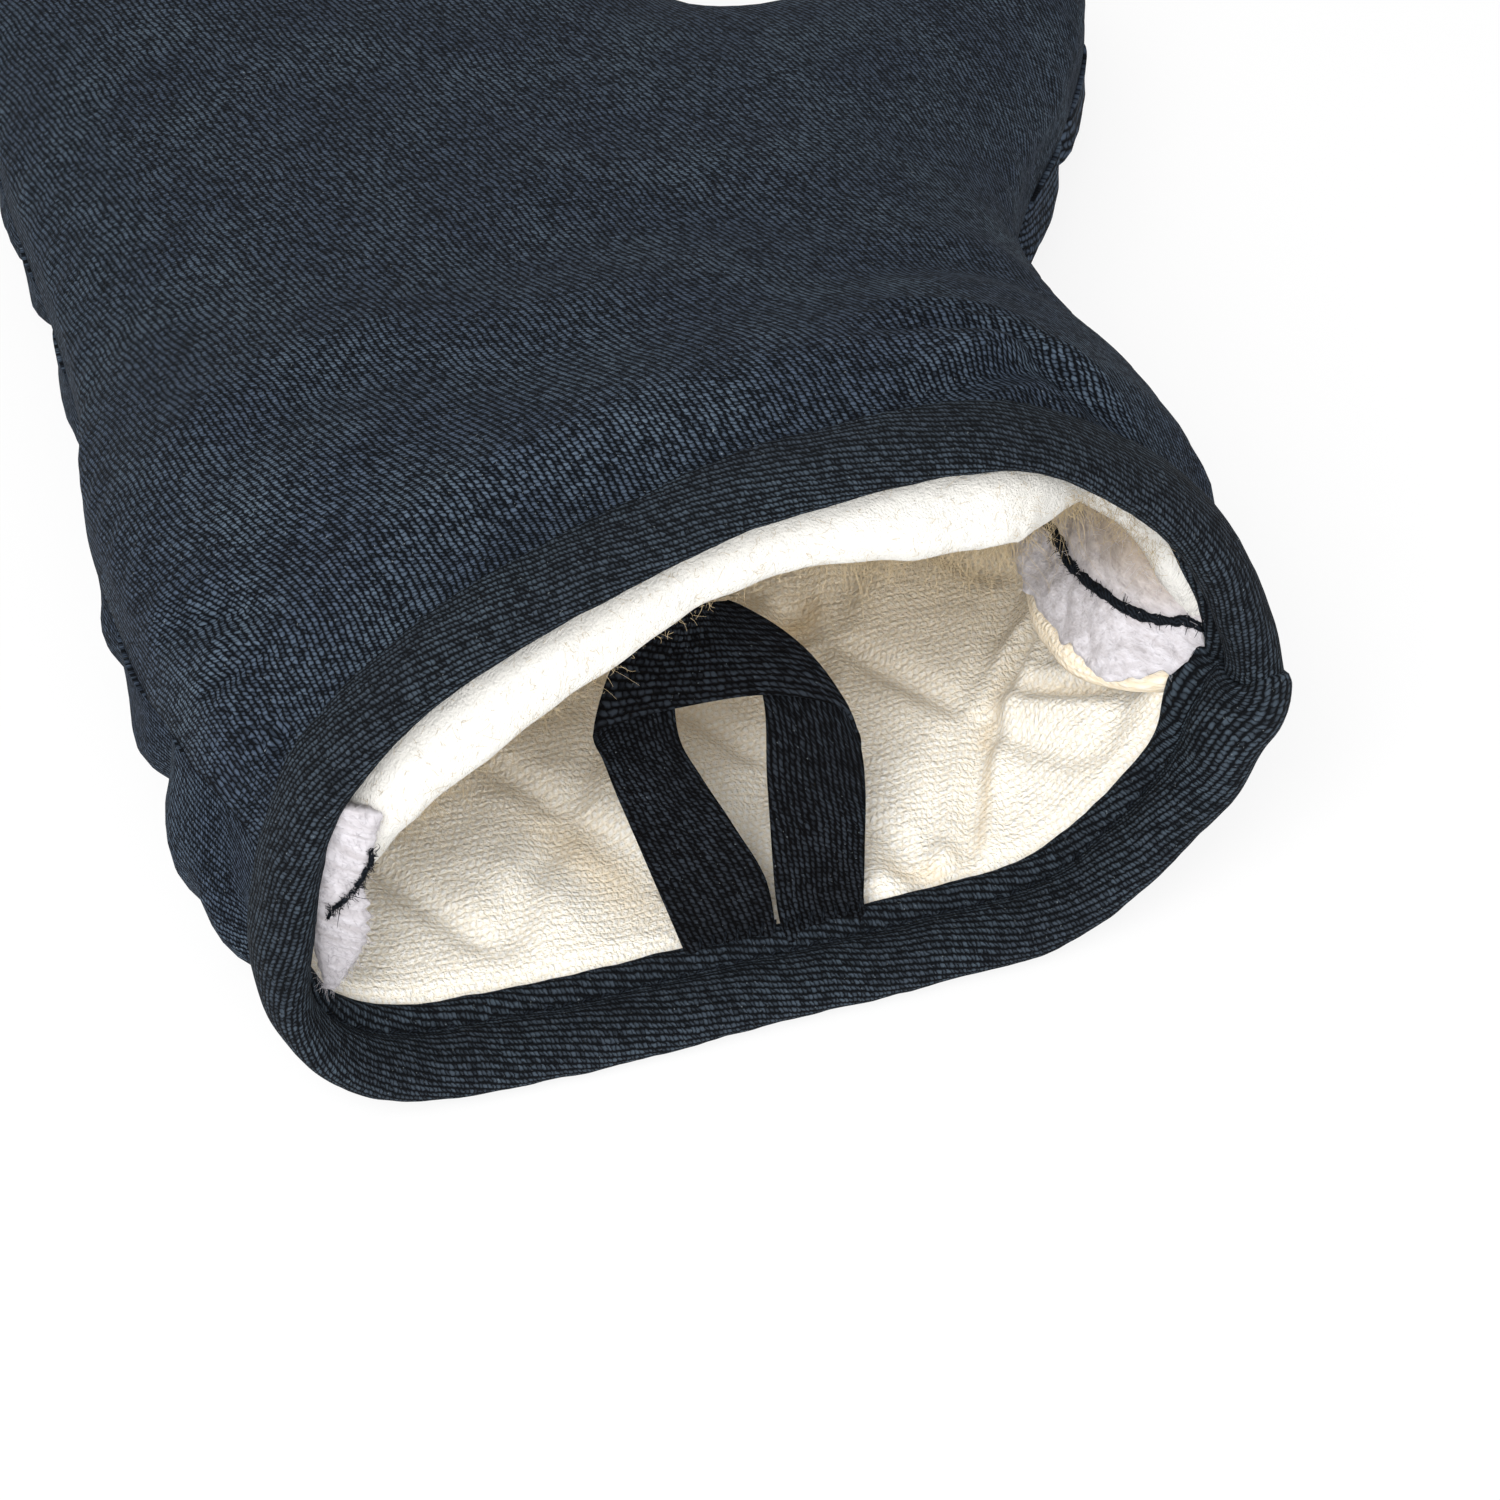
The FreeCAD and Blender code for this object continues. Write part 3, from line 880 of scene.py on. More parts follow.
# ---- the pattern
@dataclass
class Pattern:
    """The mitt's outline seen from above, and how high its panels stand.

    Attributes:
        left: Outline from the mouth to the finger tips on the little finger side.
        right: From there by the crotch and the thumb back to the mouth.
        heights: Distance along the hand, and the back's top there.
        dips: And how far the palm would bulge under the table.
        seam_start: Height of the side seam at the mouth.
        seam_fall: How steeply it comes down towards the tips, in degrees.
    """

    left: Line2 = (
        (-70, -160), (-73, -135), (-75, -95), (-76, -64), (-72.5, -40), (-72, -10), (-73, 30), (-71.5, 75),
        (-67, 110), (-58, 138), (-44, 158), (-27, 168))
    right: Line2 = (
        (-11, 170), (6, 165), (21, 152), (32, 132), (39, 108), (43, 80), (45.5, 50), (48, 33), (51.5, 24),
        (55, 24.5), (61, 32), (72, 45.5), (84, 54), (95, 59.5), (106, 58.5), (115.5, 50), (119, 38),
        (115.5, 18), (101, -9), (86, -30), (77, -48), (74.5, -70), (76.5, -100), (77, -130), (75, -160))
    heights: Line2 = (
        (-160, 77), (-130, 75), (-80, 67), (-30, 58), (30, 51), (90, 46), (132, 43), (175, 40))
    dips: Line2 = ((-160, 12), (-80, 11), (30, 9), (90, 8), (132, 7), (175, 5))
    seam_start: float = 33.0
    seam_fall: float = 3.2

    def outline(self, inset: float, hem: float = 0.0) -> Array:
        """The outline from the mouth round to the mouth again.

        Args:
            inset: How far it is drawn in.
            hem: How far the cloth reaches beyond the mouth.

        Returns:
            Its points.
        """
        line = evenly(spline(self.left + self.right, False, 16), 520)
        inner = line + turned(unit(np.gradient(line, axis=0))) * inset
        gap, _ = nearest_on_line(inner, line)
        inner = inner[(inner[:, 1] > self.mouth + 0.5) & (gap > inset - 0.05)]
        low = self.mouth - hem
        shares = np.linspace(0, 1, 3 + int(hem / 2))
        first, last = (np.array([[x, low + (y - low) * t] for t in shares]) for x, y in inner[[0, -1]])
        return np.vstack([first[:-1], inner, last[:-1][::-1]])

    @property
    def mouth(self) -> float:
        """Where the pattern's cuff is cut straight across."""
        return self.left[0][1]

    def seam(self, y: Array) -> Array:
        """Height of the side seam."""
        return self.seam_start - math.tan(math.radians(self.seam_fall)) * (y - self.mouth)

    def top(self, y: Array) -> Array:
        """Height of the back's middle."""
        return read_curve(self.heights, y)

    def dip(self, y: Array) -> Array:
        """How far the palm's middle would bulge under the table."""
        return read_curve(self.dips, y)


def flat_mesh(outline: Array, rings: Sequence[float], fine: float, coarse: float,
              fine_until: float) -> tuple[Array, Array]:
    """Meshes the flat cloth inside an outline with triangles.

    Args:
        outline: The outline, open at the mouth.
        rings: Distances in from it where rows of points follow it.
        fine: Spacing of points near the mouth.
        coarse: Spacing of points far from it.
        fine_until: How far in from the mouth the fine spacing goes.

    Returns:
        Points and triangles.
    """
    mouth_y = outline[0, 1]
    inner_side = turned(unit(np.gradient(outline, axis=0)))
    inner = []
    for ring in rings:
        row = outline + inner_side * ring
        gap, _ = nearest_on_line(row, outline)
        inner.append(row[(gap > ring * 0.97) & (row[:, 1] > mouth_y + 0.4)])
    y, odd, grid = mouth_y, 0, []
    while y < outline[:, 1].max():
        spacing = fine + (coarse - fine) * float(smooth(fine_until, fine_until + 60, y - mouth_y))
        x = np.arange(outline[:, 0].min(), outline[:, 0].max(), spacing) + odd * spacing / 2
        grid.append(np.stack([x, np.full(len(x), y)], 1))
        y += spacing * 0.866  # rows of even-sided triangles
        odd = 1 - odd
    grid = np.vstack(grid)
    gap, _ = nearest_on_line(grid, outline)
    grid = grid[(gap > rings[-1] + 0.6 * fine) & inside(grid + [0, 1e-3], outline)]
    mouth_rings = np.array([[outline[0, 0] + r, mouth_y] for r in rings]
                           + [[outline[-1, 0] - r, mouth_y] for r in rings])
    points = np.vstack([outline, mouth_rings] + inner + [grid])
    border = [(i, i + 1) for i in range(len(outline) - 1)] + [(len(outline) - 1, 0)]
    verts, _, faces, _, _, _ = delaunay_2d_cdt([Vector(p) for p in points], border, [], 1, 1e-4)
    flat = np.array([tuple(v) for v in verts])
    triangles = np.array([f for f in faces if len(f) == 3])
    a, b, c = (flat[triangles[:, k]] for k in range(3))
    turn = (b - a)[:, 0] * (c - a)[:, 1] - (b - a)[:, 1] * (c - a)[:, 0]
    triangles[turn < 0] = triangles[turn < 0][:, ::-1]
    return flat, triangles[np.abs(turn) > 1e-6]


def membrane(flat: Array, triangles: Array, held: Array, reach: float, rounds: int = 600,
             still: float = 1e-10) -> Array:
    """How far a stuffed panel rises, from 0 at its sewn edge towards 1 far from it.

    Solves the height of a stretched membrane on a soft bed under an even load, with the
    conjugate gradient method.

    Args:
        flat: Points of the flat mesh.
        triangles: Its triangles.
        held: Which points are sewn down.
        reach: How far the edge holds the panel down, in millimetres.
        rounds: The most steps of the method.
        still: The remaining energy at which it stops.

    Returns:
        The rise at each point.
    """
    stiffest = 5  # keeps a thin triangle from counting for too much
    n = len(flat)
    i, j, w = [], [], []
    area = np.zeros(n)
    for k in range(3):
        a, b, c = triangles[:, k], triangles[:, (k + 1) % 3], triangles[:, (k + 2) % 3]
        u, v = flat[a] - flat[c], flat[b] - flat[c]
        cross = np.abs(u[:, 0] * v[:, 1] - u[:, 1] * v[:, 0])
        i.append(a)
        j.append(b)
        w.append(np.clip((u * v).sum(1) / np.maximum(cross, 1e-9) / 2, -stiffest, stiffest))
        area += np.bincount(a, cross / 6, n)
    i, j, w = np.concatenate(i), np.concatenate(j), np.concatenate(w)
    diagonal = np.bincount(i, w, n) + np.bincount(j, w, n) + area / reach ** 2
    free = ~held

    def apply(x: Array) -> Array:
        """The load that would hold the panel at these heights."""
        return (diagonal * x - np.bincount(i, w * x[j], n) - np.bincount(j, w * x[i], n)) * free

    x = np.zeros(n)
    residual = area * free
    scaled = residual / diagonal
    direction = scaled.copy()
    energy = residual @ scaled
    for _ in range(rounds):
        image = apply(direction)
        length = energy / max(direction @ image, 1e-12)
        x += length * direction
        residual = residual - length * image
        scaled = residual / diagonal * free
        fresh = residual @ scaled
        if fresh < still:
            break
        direction = scaled + direction * (fresh / energy)
        energy = fresh
    return np.clip(x / reach ** 2, 0, 1)


@dataclass
class Quilting:
    """The diamonds that the palm is quilted in, sewn through every ply.

    Attributes:
        wide: One diamond across the hand.
        long: One diamond along it.
        cross: A place on the pattern where two lines cross.
    """

    wide: float = 31.0
    long: float = 54.0
    cross: tuple[float, float] = (-2.5, -151.5)

    @property
    def slope(self) -> float:
        """How far a line moves across for each millimetre along."""
        return self.wide / self.long

    def distance(self, flat: Array) -> Array:
        """Distance to the nearest line of the quilting.

        Args:
            flat: Places on the pattern.

        Returns:
            A distance for each.
        """
        lean = math.cos(math.atan(self.slope))
        x, y = (flat - self.cross).T
        best = np.full(len(flat), np.inf)
        for way in (1, -1):
            at = (x - way * self.slope * y) / self.wide
            best = np.minimum(best, np.abs(at - np.round(at)) * self.wide * lean)
        return best

    def lines(self, low: float, high: float) -> list[Array]:
        """Every line between two heights of the pattern, as points a quarter millimetre apart.

        Args:
            low: Where they begin.
            high: Where they end.

        Returns:
            The lines.
        """
        y = np.arange(low, high, 0.25)
        rows = []
        for way in (1, -1):
            for k in range(-8, 9):  # enough to cover the palm
                x = self.cross[0] + k * self.wide + way * self.slope * (y - self.cross[1])
                rows.append(np.stack([x, y], 1))
        return rows


@dataclass(frozen=True)
class Tuck:
    """One soft fold in a ply: a groove along a line, with raised sides.

    Attributes:
        line: Points of its line, near the ply.
        wide: The groove's half width.
        deep: Its depth; below zero it is a ridge.
        shoulder: How far its sides stand up, as a share of it.
    """

    line: Line3
    wide: float
    deep: float
    shoulder: float = 0.35

    def push(self, panel: "Panel") -> Array:
        """How far it moves each point of a panel along the normal.

        Args:
            panel: The panel.

        Returns:
            A distance for each point.
        """
        tree = search_tree(panel.points, panel.triangles)
        line = spline(self.line, False, 8)
        line = np.array([tuple(tree.find_nearest(Vector(p))[0]) for p in line])
        gap, where = nearest_on_line(panel.points, line)
        share = where / lengths(line)[-1]
        ends = np.sin(math.pi * np.clip(share, 0.02, 0.98)) ** 0.6
        side = np.exp(-(gap / self.wide - 1.9) ** 2 / 0.6)
        return -self.deep * ends * (hump(gap, self.wide) - self.shoulder * side)


@dataclass
class Panel:
    """One panel of one ply, as points on its flat pattern and in three dimensions.

    Attributes:
        side: Back or palm.
        flat: Where each point lies on the pattern.
        triangles: Its triangles.
        points: Where each point lies in the part's frame.
        edge_gap: Each point's distance from the outline.
        edge_along: How far along the outline it comes nearest.
        depth: Its distance in from the mouth.
        share: How far round from the little finger side's seam to the thumb side's it lies.
        cloth: Where it lies on the unrolled cloth.
    """

    side: Side
    flat: Array
    triangles: Array
    points: Array
    edge_gap: Array
    edge_along: Array
    depth: Array
    share: Array
    cloth: Array | None = None

    def normals(self) -> Array:
        """Normals that point out of the mitt."""
        return vertex_normals(self.points, self.triangles)

    def tree(self) -> BVHTree:
        """A search tree of the flat pattern."""
        return search_tree(np.pad(self.flat, ((0, 0), (0, 1))), self.triangles)

    def lift(self, places: Array) -> tuple[Array, Array, Array]:
        """Finds places of the flat pattern on the panel.

        Args:
            places: Points of the pattern.

        Returns:
            Points and normals in three dimensions, and which places lie on the panel.
        """
        tree, normals = self.tree(), self.normals()
        found, outward, real = np.zeros((len(places), 3)), np.zeros((len(places), 3)), []
        for k, (x, y) in enumerate(places):
            _, _, face, _ = tree.ray_cast(Vector((x, y, 1.0)), Vector((0, 0, -1)))
            real.append(face is not None)
            if face is None:
                continue
            corners = self.triangles[face]
            a, b, c = self.flat[corners]
            u, v = np.linalg.solve(np.stack([b - a, c - a], 1), np.array([x, y]) - a)
            weights = np.array([1 - u - v, u, v])
            found[k] = weights @ self.points[corners]
            outward[k] = weights @ normals[corners]
        return found, outward, np.array(real)


def eased(values: Array, axis: int, times: int) -> Array:
    """Evens out a grid along one axis.

    Args:
        values: The grid.
        axis: Its number.
        times: How often.

    Returns:
        The new grid.
    """
    for _ in range(times):
        wide = np.pad(values, [(1, 1) if k == axis else (0, 0) for k in range(2)], mode="edge")
        count = values.shape[axis]
        low, high = np.take(wide, range(count), axis), np.take(wide, range(2, count + 2), axis)
        values = (low + 2 * values + high) / 4
    return values


def flatten(panel: Panel, step: float = 1.5) -> Array:
    """Unrolls a panel to its flat cloth, so that a weave runs true over it.

    The panel is measured over its surface on a grid of crosswise and lengthwise lines.

    Args:
        panel: The panel, with its points in three dimensions.
        step: From one grid line to the next on the pattern.

    Returns:
        The place of each point on the flat cloth, in millimetres, with the hand's length
        along the second axis.
    """
    low, high = panel.flat.min(0) - step, panel.flat.max(0) + step
    xs, ys = np.arange(low[0], high[0] + step, step), np.arange(low[1], high[1] + step, step)
    grid = np.stack(np.meshgrid(xs, ys), -1)
    points, _, real = panel.lift(grid.reshape(-1, 2))
    points, real = points.reshape(*grid.shape[:2], 3), real.reshape(grid.shape[:2])
    crosswise, lengthwise = points[:-1, 1:] - points[:-1, :-1], points[1:, :-1] - points[:-1, :-1]
    known = real[:-1, :-1] & real[:-1, 1:] & real[1:, :-1]
    spans = [np.linalg.norm(crosswise, axis=2), np.linalg.norm(lengthwise, axis=2)]
    area = np.linalg.norm(np.cross(crosswise, lengthwise), axis=2)
    # A wall that runs askew isn't counted twice.
    true = np.sqrt(area / np.maximum(spans[0] * spans[1], 1e-9))
    cloth = []
    for axis, lines, span in ((1, xs, spans[0]), (0, ys, spans[1])):
        span = np.moveaxis(np.minimum(span * true, 5 * step), axis, 1)
        for line, sure in zip(span, np.moveaxis(known, axis, 1)):
            places = np.flatnonzero(sure)
            line[:] = np.interp(np.arange(len(line)), places, line[places]) if len(places) else step
        span = eased(np.moveaxis(span, 1, axis), 1 - axis, 2)
        way = np.insert(np.cumsum(span, axis), 0, 0.0, axis)
        middle = np.abs(lines).argmin()
        way = way - np.take(way, [middle], axis) + lines[middle]
        u = (panel.flat - low) / step
        k = np.clip(u.astype(int), 0, np.array([len(xs), len(ys)]) - 3)
        f = u - k
        c, r = k.T
        cloth.append((way[r, c] * (1 - f[:, 0]) + way[r, c + 1] * f[:, 0]) * (1 - f[:, 1])
                     + (way[r + 1, c] * (1 - f[:, 0]) + way[r + 1, c + 1] * f[:, 0]) * f[:, 1])
    return carried(panel, np.stack(cloth, 1))


def carried(panel: Panel, cloth: Array, band: float = 7.5) -> Array:
    """Carries the weave straight on to the seam, where the pattern is too steep to measure.

    Args:
        panel: The panel, with its points in three dimensions.
        cloth: The place of each point on the flat cloth.
        band: How far from the seam the weave is carried on.

    Returns:
        The places with those beside the seam replaced.
    """
    near = panel.edge_gap < band
    sure = np.flatnonzero(~near)
    finder = KDTree(len(sure))
    for k, at in enumerate(panel.points[sure]):
        finder.insert(at, k)
    finder.balance()
    cloth = cloth.copy()
    for v in np.flatnonzero(near):
        found = finder.find_n(panel.points[v], 24)
        k = sure[[place for _, place, _ in found]]
        away = np.array([distance for _, _, distance in found])
        share = 1 / (away - away[0] + 1.0) ** 2
        share /= share.sum()
        middle, centre = share @ panel.points[k], share @ cloth[k]
        turn, _, _, _ = np.linalg.lstsq((panel.points[k] - middle) * share[:, None] ** 0.5,
                                        (cloth[k] - centre) * share[:, None] ** 0.5, rcond=1e-2)
        step = (panel.points[v] - middle) @ turn
        reach = np.linalg.norm(panel.points[v] - middle)
        cloth[v] = centre + step * reach / max(np.linalg.norm(step), 1e-6)
    return cloth


def unwrap(panel: Panel) -> Array:
    """Unrolls a panel with high walls to its flat cloth, keeping every angle of the weave.

    Args:
        panel: The panel, with its points in three dimensions.

    Returns:
        The place of each point on the flat cloth, in millimetres, with the hand's length
        along the second axis.
    """
    mesh = bpy.data.meshes.new("unrolled")
    mesh.from_pydata((panel.points * MM).tolist(), [], panel.triangles.tolist())
    item = link_object("unrolled", mesh)
    mesh.uv_layers.new(name="flat")
    bpy.context.view_layer.objects.active = item
    item.select_set(True)
    bpy.ops.object.mode_set(mode="EDIT")
    bpy.ops.mesh.select_all(action="SELECT")
    bpy.ops.uv.unwrap(method="CONFORMAL", margin=0.0)
    bpy.ops.object.mode_set(mode="OBJECT")
    loops = np.zeros(len(mesh.loops) * 2, np.float32)
    mesh.uv_layers["flat"].data.foreach_get("uv", loops)
    corner = np.zeros(len(mesh.loops), np.int32)
    mesh.loops.foreach_get("vertex_index", corner)
    spread = np.zeros((len(mesh.vertices), 2))
    spread[corner] = loops.reshape(-1, 2)
    bpy.data.objects.remove(item)
    bpy.data.meshes.remove(mesh)
    # Turned, scaled and mirrored to lie over the pattern.
    a = spread - spread.mean(0)
    b = panel.flat - panel.flat.mean(0)
    u, _, vt = np.linalg.svd(a.T @ b)
    true_size = math.sqrt(surface_area(panel.points, panel.triangles)
                          / surface_area(np.pad(a, ((0, 0), (0, 1))), panel.triangles))
    return (a @ (u @ vt)) * true_size


@dataclass
class Mitt:
    """The mitt's cut, and how its plies follow the rim.

    Attributes:
        rim: The bound mouth.
        pattern: The outline and heights.
        quilting: The palm's diamonds.
        held_by_rim: How far in the rim's shape reaches.
        reach: How far a sewn edge holds a panel down.
        wall_climb: How far the little finger side's seam climbs behind the binding.
        wall_swell: How far that side swells out there.
        rings: Distances in from the edge where rows of mesh points follow it.
        coarse: Spacing of points far from the mouth.
        fine_until: How far in it is finer.
        full: What the membrane's highest rise is taken as.
        cuff: The flat cuff's half width, the back's crown, the palm's bulge and where the table stops
            it, which share a ply out round the rim.
    """

    rim: Rim = field(default_factory=Rim)
    pattern: Pattern = field(default_factory=Pattern)
    quilting: Quilting = field(default_factory=Quilting)
    held_by_rim: float = 85.0
    reach: float = 24.0
    wall_climb: float = 7.0
    wall_swell: float = 2.5
    rings: tuple[float, ...] = (0.1, 0.35, 0.8, 1.5, 2.4, 3.6)
    coarse: float = 3.4
    fine_until: float = 70.0
    full: float = 0.96
    cuff: tuple[float, float, float, float] = (73.0, 44, 46, 32)

    def panel(self, side: Side, inset: float, profile: Profile,
              hem: float = 0.0, fine: float = 1.8) -> Panel:
        """Makes one panel of a ply.

        Args:
            side: Back or palm.
            inset: How far the ply lies inside the shell's outer face.
            profile: For the depth in from the mouth, the share of the way from the little
                finger side's seam to the thumb side's and half the padded edge's thickness,
                how far in and how far out from the rim's middle the ply runs.
            hem: How much longer than the shell it is cut at the mouth.
            fine: Spacing of its points near the mouth.

        Returns:
            The panel.
        """
        outline = self.pattern.outline(inset, hem)
        flat, triangles = flat_mesh(outline, self.rings, fine, self.coarse, self.fine_until + hem)
        gap, along = nearest_on_line(flat, outline)
        rise = np.sqrt(membrane(flat, triangles, gap < 1e-3, self.reach)) / self.full
        y = flat[:, 1]
        seam = self.pattern.seam(y)
        if side is Side.BACK:
            z = seam + (self.pattern.top(y) - inset - seam) * rise
        else:
            z = settle(seam - (seam + self.pattern.dip(y) - inset) * rise, inset + 0.15)
        body = np.stack([flat[:, 0], y, z], 1)
        depth = y - outline[0, 1]
        left, right = self.edges(outline, y)
        share = self.share(side, (flat[:, 0] - left) / (right - left))
        half = self.rim.half(side)
        place = share * (len(half) - 1)
        wall = smooth(4, 26, depth - hem) * (1 - smooth(40, 85, depth - hem))
        climb = self.wall_climb / self.rim.step * wall * (1 - np.clip(share, 0, 1)) ** 4
        index = half[0] + (-1 if side is Side.BACK else 1) * place - climb
        inward, radial = profile(depth, share, self.rim.thickness(index) / 2)
        mouth = self.rim.at(index, inward, radial)
        weight = (1 - smooth(0, self.held_by_rim + hem, depth))[:, None]
        points = mouth * weight + body * (1 - weight)
        points[:, 0] -= self.wall_swell * wall * hump(share, 0.13)
        points[:, 2] = settle(points[:, 2], 0.3)
        if side is Side.PALM:
            triangles = triangles[:, ::-1]
        return Panel(side, flat, triangles, points, gap, along, depth, share)

    def share(self, side: Side, across: Array) -> Array:
        """How far round from one seam to the other a place across the cuff lies.

        Args:
            side: Back or palm.
            across: Share of the flat cuff's width.

        Returns:
            Share of the way round.
        """
        x = (1 - np.cos(np.linspace(0, math.pi, 400))) / 2
        half, crown, bulge, table = self.cuff
        rise = np.sqrt(np.maximum(1 - np.cosh((x - 0.5) * 2 * half / self.reach)
                                  / math.cosh(half / self.reach), 0))
        z = crown * rise if side is Side.BACK else -np.minimum(bulge * rise, table)
        along = lengths(np.stack([x * 2 * half, z], 1))
        return np.interp(np.clip(across, 0, 1), x, along / along[-1])

    @staticmethod
    def edges(outline: Array, y: Array) -> tuple[Array, Array]:
        """The outline's left and right at each height of the cuff.

        Args:
            outline: The outline.
            y: The heights.

        Returns:
            Both edges' places across.
        """
        below_thumb = -50
        tip = int(np.argmax(outline[:, 1]))
        left = outline[:tip + 1]
        right = outline[tip:][::-1]
        cuff = right[:int(np.argmax(right[:, 1] > below_thumb)) + 1]
        return np.interp(y, left[:, 1], left[:, 0]), np.interp(y, cuff[:, 1], cuff[:, 0])


def settle(height: Array, floor: float, softness: float = 2.0) -> Array:
    """Heights that come down to rest softly on a floor."""
    over = height - floor
    return floor + (over + np.sqrt(over ** 2 + softness ** 2)) / 2 - softness * 0.12


def declare(item: bpy.types.Object, slot: str, *nodes: str) -> None:
    """Attaches a piece to the mitt's body, hides the nodes that it stands for and logs how many points it
    has.

    Args:
        item: The piece.
        slot: Its slot; not used.
        nodes: The nodes, if any.
    """
    if nodes:
        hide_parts(*nodes)
    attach(item, "mitt")
    LOG.info("%s: %d points", item.name,
             len(item.data.vertices) if item.type == "MESH" else len(item.data.splines))


# ---- the plies
@dataclass
class Shell:
    """The twill outside: a back and a palm panel.

    Attributes:
        mitt: The cut.
        thick: The cloth's thickness.
        waves: Height and size of its wide and its narrow waves.
        pucker: Height of the puckers beside the seam, and from one to the next.
        scallop: How far the palm's side wall bulges between two quilting lines.
        notch: How far a line pulls it in.
        valley: How deep the quilting lies elsewhere.
        groove: How deep the seam lies.
        tucks: Folds of the back panel.
        palm_tucks: Folds of the palm panel.
    """

    mitt: Mitt
    thick: float = 0.9
    waves: Line2 = ((1.4, 42), (0.3, 13))
    pucker: tuple[float, float] = (0.3, 8.5)
    scallop: float = 2.6
    notch: float = 3.4
    valley: float = 1.9
    groove: float = 1.7
    tucks: tuple[Tuck, ...] = (
        Tuck(((30, -121, 70), (44, -117.5, 70), (52, -118.5, 68), (60, -126, 62)), 2.2, 2.4),
        Tuck(((27, -110, 70), (43, -110.5, 70), (50.5, -114.5, 68), (58, -121, 62)), 2.0, 2.0),
        Tuck(((31, -104, 70), (41, -105, 70), (50, -107, 68)), 1.6, 1.4),
        Tuck(((-69.5, -105, 41), (-65, -108.2, 48), (-61.2, -111.2, 51), (-56.8, -116.8, 53)), 2.4, 2.2),
        Tuck(((-67.6, -118.2, 40), (-64.5, -118.4, 44.7), (-60.5, -119.1, 48), (-56, -120, 51)), 1.6, 1.9),
        Tuck(((-67, -124.4, 36), (-62.9, -126.3, 40.4), (-59.2, -129.2, 43.4), (-56, -132, 45)), 1.7, 2.0),
        Tuck(((-46, -123, 60), (-30.5, -120.8, 65), (-20.8, -120.8, 68), (-6, -122, 70)), 3.6, 1.9),
        Tuck(((-40, -100, 66), (-15, -96, 70), (8, -99, 70)), 9.0, 1.8),
        Tuck(((-62, -92, 58), (-40, -84, 66), (-18, -86, 68)), 7.0, 1.9),
        Tuck(((-20, -66, 66), (12, -60, 66), (40, -66, 64)), 10.0, 1.6),
        Tuck(((30, -86, 70), (55, -82, 62), (70, -88, 50)), 5.0, 1.0))
    palm_tucks: tuple[Tuck, ...] = (
        Tuck(((-74, -60, 22), (-73, -62, 12), (-66, -64, 4)), 4.0, 1.0),
        Tuck(((-72, -124, 26), (-68, -126, 14), (-60, -128, 4)), 3.5, 1.0))

    def profile(self, depth: Array, share: Array, half: Array) -> tuple[Array, Array]:
        """The shell runs under the binding's outer leg, dips beside it and swells beyond."""
        under, dip, swell = 1.05, 1.4, 4.9
        return depth + 1.0, half - under - dip * smooth(5.5, 9.5, depth) + swell * smooth(11, 29, depth)

    def build(self, side: Side) -> Panel:
        """Makes a panel and presses its folds, quilting and puckers into it.

        Args:
            side: Back or palm.

        Returns:
            The panel.
        """
        panel = self.mitt.panel(side, 0.0, self.profile)
        gap, along, depth = panel.edge_gap, panel.edge_along, panel.depth
        normal = panel.normals()
        far = smooth(9, 20, depth)
        (high, wide), (low, narrow) = self.waves
        push = high * ripple(panel.points, wide, 3) * far
        push += low * ripple(panel.points, narrow, 9) * far
        high, spacing = self.pucker
        pucker = np.sin(along * 2 * math.pi / spacing + 2.5 * np.sin(along / 17)) * high
        push += pucker * hump(gap - 2.5, 3.0) * far
        for tuck in self.tucks if side is Side.BACK else self.palm_tucks:
            push += tuck.push(panel)
        push *= smooth(0, 5, gap)
        if side is Side.PALM:
            line = self.mitt.quilting.distance(panel.flat)
            wall = hump(gap - 5, 4.5) * smooth(8, 16, depth)
            push += (self.scallop - self.notch * hump(line, 4.5)) * wall
            push -= self.valley * hump(line, 2.4) * smooth(10, 16, depth)
        points = panel.points + normal * push[:, None]
        groove = self.groove * hump(gap, 1.3) * smooth(0, 12, depth)
        points -= unit(normal * [1, 1, 0], 1e-6) * groove[:, None]
        points[:, 2] = settle(points[:, 2], TABLE_GAP, 0.6)
        panel.points = points
        panel.cloth = flatten(panel) if side is Side.BACK else unwrap(panel)
        return panel

    def dress(self, side: Side, palette: Palette) -> Panel:
        """Args:
            side: Back or palm.
            palette: The materials.

        Returns:
            The panel.
        """
        panel = self.build(side)
        points, faces = thick_sheet(panel.points, panel.triangles, 0.0, self.thick)
        item = make_object(f"{side.value}_shell_cloth", points, faces, palette.shell,
                           **{CLOTH: panel.cloth})
        declare(item, "shell_twill", f"{side.value}_shell")
        return panel


